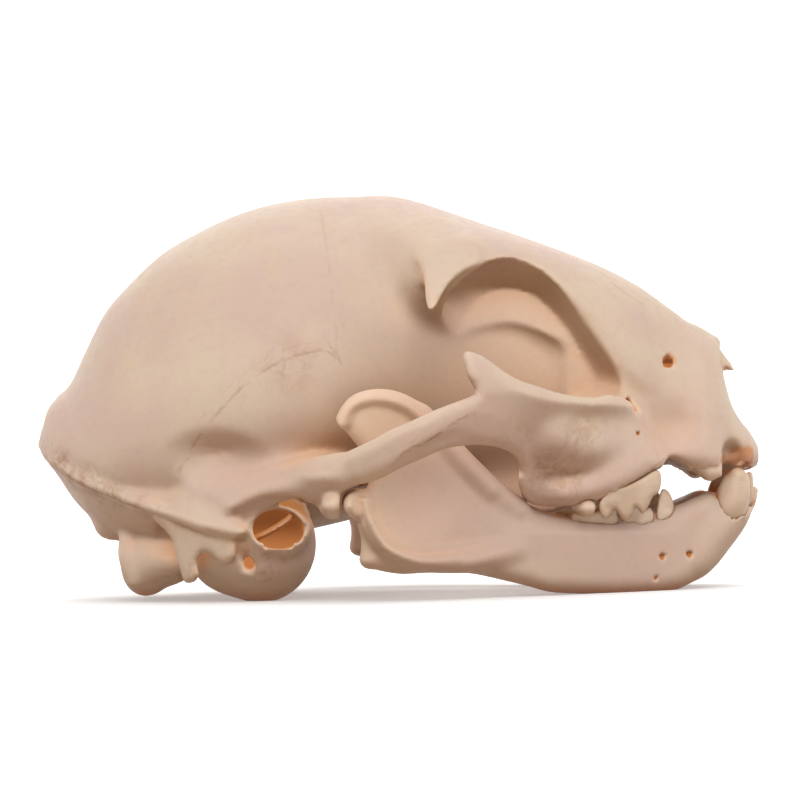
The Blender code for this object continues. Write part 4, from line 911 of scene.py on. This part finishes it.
def dressed(name, points, faces, material, seams=()):
    """The visible piece for a solid, with its marks for the material, riding on the skull."""
    normals = point_normals(points, faces)
    start, end = neighbours(points, faces)
    broad = averaged(points, start, end, 36)
    mesh = bpy.data.meshes.new(name + "_surface")
    world = placed(points)
    world[world[:, 2] < REST_SNAP / 1000, 2] = 0.0
    mesh.from_pydata(world, [], faces.tolist())
    mesh.shade_smooth()
    marks = {
        "hollow_broad": ((broad - points) * normals).sum(1),
        "warm_shade_and_glow": spot_reach(points, WARM_SHADE_AND_GLOW_SPOTS),
        "wear_and_shade": spot_reach(points, WEAR_AND_SHADE_SPOTS),
    }
    for key, values in marks.items():
        layer = mesh.attributes.new(key, "FLOAT", "POINT")
        layer.data.foreach_set("value", values.astype(np.float32))
    if seams:
        layer = mesh.attributes.new("seam", "FLOAT_VECTOR", "POINT")
        layer.data.foreach_set("vector", seam_marks(points, normals, faces, seams).astype(np.float32).ravel())
    mesh.materials.append(material)
    piece = bpy.data.objects.new(name + "_surface", mesh)
    bpy.context.scene.collection.objects.link(piece)
    if 2 * len(faces) > PIECE_FACES:
        thinner = piece.modifiers.new("thinner", "DECIMATE")
        thinner.ratio = PIECE_FACES / (2 * len(faces))
        thinned = piece.evaluated_get(bpy.context.evaluated_depsgraph_get())
        piece.data = bpy.data.meshes.new_from_object(thinned)
        piece.modifiers.clear()
    seat(piece, name)
    return piece


def dressed_pair(name, clay, material):
    """The left piece and its mirror image on the right, with the same marks."""
    points, faces = skin(clay)
    mesh = dressed(name + "_left", points, faces, material).data.copy()
    mesh.name = name + "_right_surface"
    mesh.transform(Matrix.Scale(-1, 4, (0, 1, 0)))
    mesh.flip_normals()
    piece = bpy.data.objects.new(name + "_right_surface", mesh)
    bpy.context.scene.collection.objects.link(piece)
    seat(piece, name + "_right")


class Nodes:
    """A new material, and short calls that add nodes to it and return their output."""

    def __init__(self, name):
        self.material = bpy.data.materials.new(name)
        self.material.use_nodes = True
        self.tree = self.material.node_tree
        self.shader = self.tree.nodes["Principled BSDF"]

    def link(self, value, socket):
        """Sets the socket to a number or a colour, or wires an output to it."""
        if isinstance(value, (int, float)):
            socket.default_value = value
        elif isinstance(value, tuple):
            socket.default_value = (*value, 1.0)[: len(socket.default_value)]
        else:
            self.tree.links.new(value, socket)

    def new(self, kind, **inputs):
        """A new node of that kind, with its inputs set by name."""
        node = self.tree.nodes.new("ShaderNode" + kind)
        for key, value in inputs.items():
            self.link(value, node.inputs[key.replace("_", " ")])
        return node

    def surface(self, **inputs):
        """Sets the shader's inputs by name, and returns the material."""
        for key, value in inputs.items():
            self.link(value, self.shader.inputs[key.replace("_", " ")])
        return self.material

    def math(self, operation, *values, clamp=False):
        node = self.new("Math")
        node.operation = operation
        node.use_clamp = clamp
        for value, socket in zip(values, node.inputs):
            self.link(value, socket)
        return node.outputs[0]

    def ramp(self, value, low, high, start=0.0, end=1.0):
        """The value carried smoothly from the range low to high into the range start to end."""
        node = self.new("MapRange", Value=value, From_Min=low, From_Max=high, To_Min=start, To_Max=end)
        node.interpolation_type = "SMOOTHSTEP"
        return node.outputs["Result"]

    def mix(self, share, a, b, blend="MIX"):
        node = self.new("Mix")
        node.data_type = "RGBA"
        node.blend_type = blend
        # a mix of colours has its inputs and its output at these numbers
        for value, index in ((share, 0), (a, 6), (b, 7)):
            self.link(value, node.inputs[index])
        return node.outputs[2]

    def attribute(self, name, output="Fac"):
        node = self.new("Attribute")
        node.attribute_name = name
        return node.outputs[output]

    def split(self, vector):
        return self.new("SeparateXYZ", Vector=vector).outputs

    def millimetres(self):
        """The point's place on the skull, in millimetres."""
        scaled = self.new("VectorMath", Vector=self.new("TexCoord").outputs["Object"])
        scaled.operation = "SCALE"
        scaled.inputs["Scale"].default_value = 1000.0
        return scaled.outputs[0]

    def noise(self, place, scale, detail=3.0, rough=0.5, distortion=0.0):
        node = self.new(
            "TexNoise", Vector=place, Scale=scale, Detail=detail, Roughness=rough, Distortion=distortion
        )
        return node.outputs["Fac"]

    def nearness(self, reach, own_only):
        """1 where surfaces within that reach close the point in, 0 in the open."""
        node = self.new("AmbientOcclusion", Distance=reach)
        node.samples = 6
        node.only_local = own_only
        return self.math("SUBTRACT", 1.0, node.outputs["AO"], clamp=True)

    def bump(self, height, distance, strength):
        return self.new("Bump", Height=height, Distance=distance, Strength=strength).outputs["Normal"]


def facing_up(m):
    """The Z of the surface's direction: 1 where it faces up, -1 where it faces down."""
    return m.split(m.new("NewGeometry").outputs["Normal"])[2]


def shade_undersides(m, colour):
    """The colour with painted shade, multiplied darker the more the surface faces down."""
    share = m.ramp(facing_up(m), -0.65, 0.25)
    return m.mix(1.0, colour, m.mix(share, PAINTED_SHADE_BELOW, PAINTED_SHADE_ABOVE), "MULTIPLY")


def srgb(red, green, blue):
    """A colour given in the usual 0 to 255 values, as linear light."""
    return tuple(((v / 255 + 0.055) / 1.055) ** 2.4 for v in (red, green, blue))


PALE = srgb(222, 199, 177)
PINKISH = srgb(217, 188, 172)
YELLOWISH = srgb(224, 195, 160)
GREYISH = srgb(200, 168, 147)
TONE_AND_SHADE_TAN = srgb(202, 158, 120)
EDGE_HIGHLIGHT = srgb(232, 212, 186)
AMBER_SHADE_AND_GLOW = srgb(206, 146, 88)
PEACH_GLOW = srgb(226, 186, 156)
ORANGE_SHADE = srgb(200, 122, 48)
BROWN = srgb(168, 118, 76)
# Painted shade: what the colour is multiplied by where the surface faces up and where it faces down
PAINTED_SHADE_ABOVE = (0.87, 0.86, 0.85)
PAINTED_SHADE_BELOW = (0.42, 0.33, 0.25)
CREAM = srgb(230, 205, 180)
TOOTH = srgb(217, 188, 160)


def bone_material(name, seams, rear, plate_glow):
    """Old dry bone: pale and blotchy, with painted shade (tan in hollows, amber deep inside, orange in narrow
    gaps, darker facing down), painted highlights on edges and a painted glow.

    rear is how tan the skull's rear half gets, and plate_glow is the strength of a painted glow on the jaw's
    upright plate.
    """
    m = Nodes(name)
    place = m.millimetres()
    clouds = m.noise(place, 0.05, 4.0, 0.55)
    blotch = m.noise(place, 0.17, 4.0, 0.6, 0.4)
    grain = m.noise(place, 0.9, 5.0, 0.65)
    fine = m.noise(place, 3.2, 4.0, 0.6)
    colour = m.mix(m.ramp(clouds, 0.4, 0.6), PALE, PINKISH)
    colour = m.mix(m.ramp(blotch, 0.5, 0.75, 0.0, 0.4), colour, YELLOWISH)
    colour = m.mix(m.ramp(grain, 0.45, 0.8, 0.0, 0.25), colour, GREYISH)
    along, _, height_now = m.split(place)
    colour = m.mix(m.ramp(along, 16.0, -6.0, 0.0, rear), colour, TONE_AND_SHADE_TAN)
    # painted shade: tan in broad hollows
    valley = m.ramp(m.attribute("hollow_broad"), 0.0, 0.55)
    colour = m.mix(m.math("MULTIPLY", valley, 0.45), colour, TONE_AND_SHADE_TAN)
    # painted highlight: lighter on convex edges and ridges
    edge = m.ramp(m.attribute("hollow_broad"), -0.1, -0.6)
    colour = m.mix(m.math("MULTIPLY", edge, 0.4), colour, EDGE_HIGHLIGHT)
    # brown wear along the nape crest and by the ear bulb, and painted shade on the cheek below the arch
    wear_and_shade = m.math("MULTIPLY", m.attribute("wear_and_shade"), m.ramp(m.noise(place, 0.55, 4.0, 0.7, 0.6), 0.4, 0.62))
    colour = m.mix(m.math("MULTIPLY", wear_and_shade, 0.75), colour, BROWN)
    # painted shade: amber where surfaces close the point in, deep in hollows
    hidden = m.nearness(HOLLOW_REACH, True)
    colour = m.mix(m.ramp(hidden, 0.2, 0.8, 0.0, 0.95), colour, AMBER_SHADE_AND_GLOW)
    # painted shade: orange in narrow gaps between surfaces
    tight = m.ramp(m.nearness(CREVICE_REACH, False), 0.55, 1.0)
    colour = m.mix(m.math("MULTIPLY", tight, 0.7), colour, ORANGE_SHADE)
    # painted warm shade round holes, sockets and gaps, broken up by grain
    warm_shade_and_glow = m.math("ADD", m.attribute("warm_shade_and_glow"), m.math("MULTIPLY", m.math("SUBTRACT", grain, 0.5), 0.5))
    colour = m.mix(m.ramp(warm_shade_and_glow, 0.25, 0.8, 0.0, 0.9), colour, ORANGE_SHADE)
    height = m.math("ADD", m.math("MULTIPLY", grain, 0.6), m.math("MULTIPLY", fine, 0.25))
    height = m.math("SUBTRACT", height, m.math("MULTIPLY", wear_and_shade, 1.2))
    if seams:
        across, sure, depth = m.split(m.attribute("seam", "Vector"))
        wiggle = m.math("MULTIPLY", m.math("SUBTRACT", m.noise(place, 0.8, 4.0, 0.7), 0.5), 1.1)
        bent = m.math("ABSOLUTE", m.math("ADD", across, wiggle))
        broken = m.ramp(m.noise(place, 0.45, 2.0, 0.5), 0.36, 0.56)
        line = m.math("MULTIPLY", m.math("MULTIPLY", m.ramp(bent, 0.3, 0.04), sure), depth)
        line = m.math("MULTIPLY", line, broken)
        colour = m.mix(m.math("MULTIPLY", line, 0.6, clamp=True), colour, BROWN)
        height = m.math("SUBTRACT", height, m.math("MULTIPLY", line, 1.2))
    # painted glow: emission in closed hollows, most where they face down, on the warm spots and on the jaw's
    # upright plate, standing in for light that thin bone lets through
    glow = m.math("MULTIPLY", m.ramp(hidden, 0.06, 0.42, 0.0, 0.34), m.ramp(facing_up(m), -0.6, 0.1))
    glow = m.math("ADD", glow, m.ramp(hidden, 0.6, 1.0, 0.0, 0.16))
    glow = m.math("ADD", glow, m.ramp(warm_shade_and_glow, 0.4, 1.0, 0.0, 0.16))
    if plate_glow:
        glow = m.math("ADD", glow, m.ramp(height_now, 14.0, 20.0, 0.0, plate_glow))
    return m.surface(
        Base_Color=shade_undersides(m, colour),
        Emission_Color=m.mix(m.ramp(hidden, 0.5, 0.9), PEACH_GLOW, AMBER_SHADE_AND_GLOW),
        Emission_Strength=glow,
        Roughness=m.ramp(grain, 0.3, 0.7, 0.42, 0.6),
        Subsurface_Weight=0.35,
        Subsurface_Radius=(1.0, 0.5, 0.25),
        Subsurface_Scale=0.002,
        Specular_IOR_Level=0.35,
        Normal=m.bump(height, 0.0001, 0.8),
    )


def enamel_material(name):
    """Teeth: warm cream, with painted shade: tan in creases, orange in tight gaps where they stand in the
    jaw, and darker facing down.
    """
    m = Nodes(name)
    place = m.millimetres()
    clouds = m.noise(place, 0.35, 3.0, 0.5)
    fine = m.noise(place, 2.5, 4.0, 0.6)
    colour = m.mix(m.ramp(clouds, 0.35, 0.65), CREAM, TOOTH)
    # painted shade: tan in creases
    colour = m.mix(m.ramp(m.attribute("hollow_broad"), 0.0, 0.25, 0.0, 0.6), colour, TONE_AND_SHADE_TAN)
    colour = m.mix(m.ramp(fine, 0.6, 0.8, 0.0, 0.35), colour, GREYISH)
    # painted shade: orange in tight gaps, as where the teeth stand in the jaw
    tight = m.ramp(m.nearness(TOOTH_CREVICE_REACH, False), 0.4, 0.95)
    colour = m.mix(m.math("MULTIPLY", tight, 0.8), colour, ORANGE_SHADE)
    # painted warm shade round sockets and gaps
    colour = m.mix(m.ramp(m.attribute("warm_shade_and_glow"), 0.2, 0.9, 0.0, 0.9), colour, ORANGE_SHADE)
    return m.surface(
        Base_Color=shade_undersides(m, colour),
        Roughness=m.ramp(fine, 0.3, 0.7, 0.32, 0.46),
        Subsurface_Weight=0.3,
        Subsurface_Radius=(1.0, 0.6, 0.35),
        Subsurface_Scale=0.0014,
        Normal=m.bump(fine, 0.00003, 0.6),
    )


def stage():
    """A pale floor that sweeps up behind the skull."""
    profile = [(-3.0, 0.0), (1.2, 0.0)]
    profile += [(1.2 + 0.8 * math.sin(a), 0.8 - 0.8 * math.cos(a)) for a in np.linspace(0.1, math.pi / 2, 16)]
    profile += [(2.0, 3.5)]
    points = [(x, y, z) for y, z in profile for x in (-4.0, 4.0)]
    faces = [(2 * i, 2 * i + 1, 2 * i + 3, 2 * i + 2) for i in range(len(profile) - 1)]
    mesh = bpy.data.meshes.new("floor")
    mesh.from_pydata(points, [], faces)
    mesh.shade_smooth()
    floor = bpy.data.objects.new("floor", mesh)
    bpy.context.scene.collection.objects.link(floor)
    pale = Nodes("floor").surface(
        Base_Color=(0.86, 0.86, 0.86),
        Emission_Color=(1.0, 1.0, 1.0),
        Emission_Strength=0.3,
        Roughness=0.9,
        Specular_IOR_Level=0.1,
    )
    mesh.materials.append(pale)


def light(name, place, aim, size, power):
    """A square soft box at the place, turned to the aim, its size in metres and its power in watts."""
    lamp = bpy.data.lights.new(name, "AREA")
    lamp.shape = "SQUARE"
    lamp.size = size
    lamp.energy = power
    item = bpy.data.objects.new(name, lamp)
    item.location = place
    item.rotation_euler = (Vector(aim) - Vector(place)).to_track_quat("-Z", "Y").to_euler()
    bpy.context.scene.collection.objects.link(item)


def camera():
    """The photograph's view: the right side, a little from behind, rolled as the skull is pitched."""
    away, shown = VIEW_DISTANCE / 1000, 0.1
    data = bpy.data.cameras.new("view")
    data.sensor_width = 36.0
    data.lens = 36.0 * away / shown
    data.clip_end = 20.0
    item = bpy.data.objects.new("view", data)
    centre, ahead = (Vector(p) for p in pitched([(0.0, 0.0, VIEW_HEIGHT), (1.0, 0.0, VIEW_HEIGHT)]))
    roll = Matrix.Rotation(math.atan2(centre.z - ahead.z, ahead.x - centre.x), 3, "Y")
    turn = math.radians(VIEW_TURN)
    back = Vector((-math.sin(turn), -math.cos(turn), 0))
    item.location = centre + roll @ back * away
    item.rotation_mode = "QUATERNION"
    item.rotation_quaternion = roll.to_quaternion() @ (-back).to_track_quat("-Z", "Y")
    bpy.context.scene.collection.objects.link(item)
    bpy.context.scene.camera = item


def side(*line, depth=1.0):
    """The same seam on both sides, from its line in the side view."""
    return [(from_side, LEFT, depth, line), (from_right, RIGHT, depth, line)]


# Seams: where their rays start, the rays' direction, depth, and the line
SEAMS = [
    *side((-27.5, 16.2), (-25.6, 19.6), (-23.1, 23.1), (-20.0, 26.3), (-16.9, 28.7), (-14.0, 30.2),
          (-11.3, 31.0), (-9.0, 31.0), (-7.4, 29.6), depth=0.55),
    *side((-10.0, 48.6), (-9.4, 45.0), (-8.8, 41.0), (-8.4, 37.0), (-8.0, 33.5), (-7.6, 30.5), depth=0.25),
    *side((-0.9, 17.1), (0.4, 18.3), (2.0, 19.3), (3.9, 20.1), (6.2, 21.9), (8.7, 23.2), (9.6, 24.2),
          depth=0.8),
    *side((24.5, 41.5), (27.0, 39.0), (29.0, 37.6), (31.0, 36.6), depth=0.3),
    *side((-42.6, 16.6), (-40.0, 14.6), (-37.0, 13.2), (-34.0, 12.0), (-31.0, 10.9), (-28.0, 9.8),
          (-25.4, 8.7), depth=1.0),
    *side((18.6, 15.8), (20.6, 17.6), (22.6, 19.0), (24.6, 20.6), (26.6, 22.6), depth=0.3),
    *side((28.6, 12.6), (30.2, 15.4), (33.0, 17.6), depth=0.5),
    (from_above, DOWN, 0.35, [(x, 0.0) for x in range(-24, 38, 3)]),
    (from_below, UP, 0.5, [(x, 0.0) for x in range(14, 42, 3)]),
]
# Painted warm shade and glow round holes, sockets and gaps: X, Y, Z, reach and strength
WARM_SHADE_AND_GLOW_SPOTS = [
    (33.3, -8.4, 29.8, 1.2, 1.0),
    (42.6, 5.4, 17.6, 1.9, 1.0),
    (40.0, 6.6, 16.8, 1.5, 0.9),
    (39.6, 8.6, 17.6, 0.8, 0.8),
    (39.2, 4.6, 13.2, 2.2, 0.8),
    (44.0, 2.0, 12.0, 1.0, 0.6),
    (14.6, 15.6, 13.2, 1.8, 0.7),
    (19.0, 14.4, 11.6, 2.0, 0.9),
    (24.6, 12.8, 12.8, 2.0, 0.8),
    (-6.0, 24.0, 13.6, 1.9, 0.7),
    (9.0, 13.6, 26.4, 0.8, 1.0),
    (27.2, 12.0, 29.6, 1.4, 0.7),
    (-19.6, 18.6, 6.0, 1.4, 0.6),
    (30.0, 14.0, 24.6, 0.9, 0.3),
]
# Worn brown bone along the crest at the nape and on the bone by the ear bulb, brown on the side of the
# braincase, and painted shade on the cheek below the arch: the same columns
WEAR_AND_SHADE_SPOTS = [
    (-43.4, 4.0, 17.8, 2.2, 0.9),
    (-41.6, 8.6, 16.2, 2.4, 1.0),
    (-38.6, 12.2, 14.4, 2.2, 0.9),
    (-35.6, 14.2, 13.2, 1.8, 0.7),
    (-32.0, 16.0, 11.9, 1.4, 0.6),
    (-17.0, 17.4, 4.6, 2.6, 0.5),
    (-25.4, 16.2, 3.6, 1.6, 0.6),
    (-24.6, 19.4, 5.6, 1.2, 0.5),
    (-14.0, 22.0, 29.6, 3.4, 0.35),
    (18.0, 21.6, 16.6, 2.8, 0.55),
    (22.6, 20.8, 20.4, 3.4, 0.45),
    (20.6, 19.4, 15.0, 2.6, 0.5),
    (14.6, 25.6, 20.6, 2.2, 0.35),
]


scene = bpy.context.scene
scene.view_settings.view_transform = "Standard"
bone = bone_material("old_bone", True, 0.0, 0.0)
jaw_bone = bone_material("jaw_bone", False, 0.2, 0.18)
enamel = enamel_material("tooth_enamel")
build_cranium(bone)
build_jaw(jaw_bone)
build_teeth(enamel)
stage()
world = bpy.data.worlds.new("soft_room")
world.use_nodes = True
room = world.node_tree.nodes["Background"]
room.inputs["Color"].default_value = (1.0, 0.995, 0.985, 1.0)
room.inputs["Strength"].default_value = 0.47
scene.world = world
skull_middle = (0.0, 0.0, 0.02)
light("key", (0.0, -0.45, 1.0), skull_middle, 0.9, 3.7)
light("front", (0.15, -1.1, 0.7), skull_middle, 0.8, 4.2)
light("back", (-0.1, 1.1, 0.6), skull_middle, 0.9, 1.6)
light("backdrop", (0.0, 0.5, 1.6), (0.0, 2.0, 0.5), 1.2, 20.0)
camera()
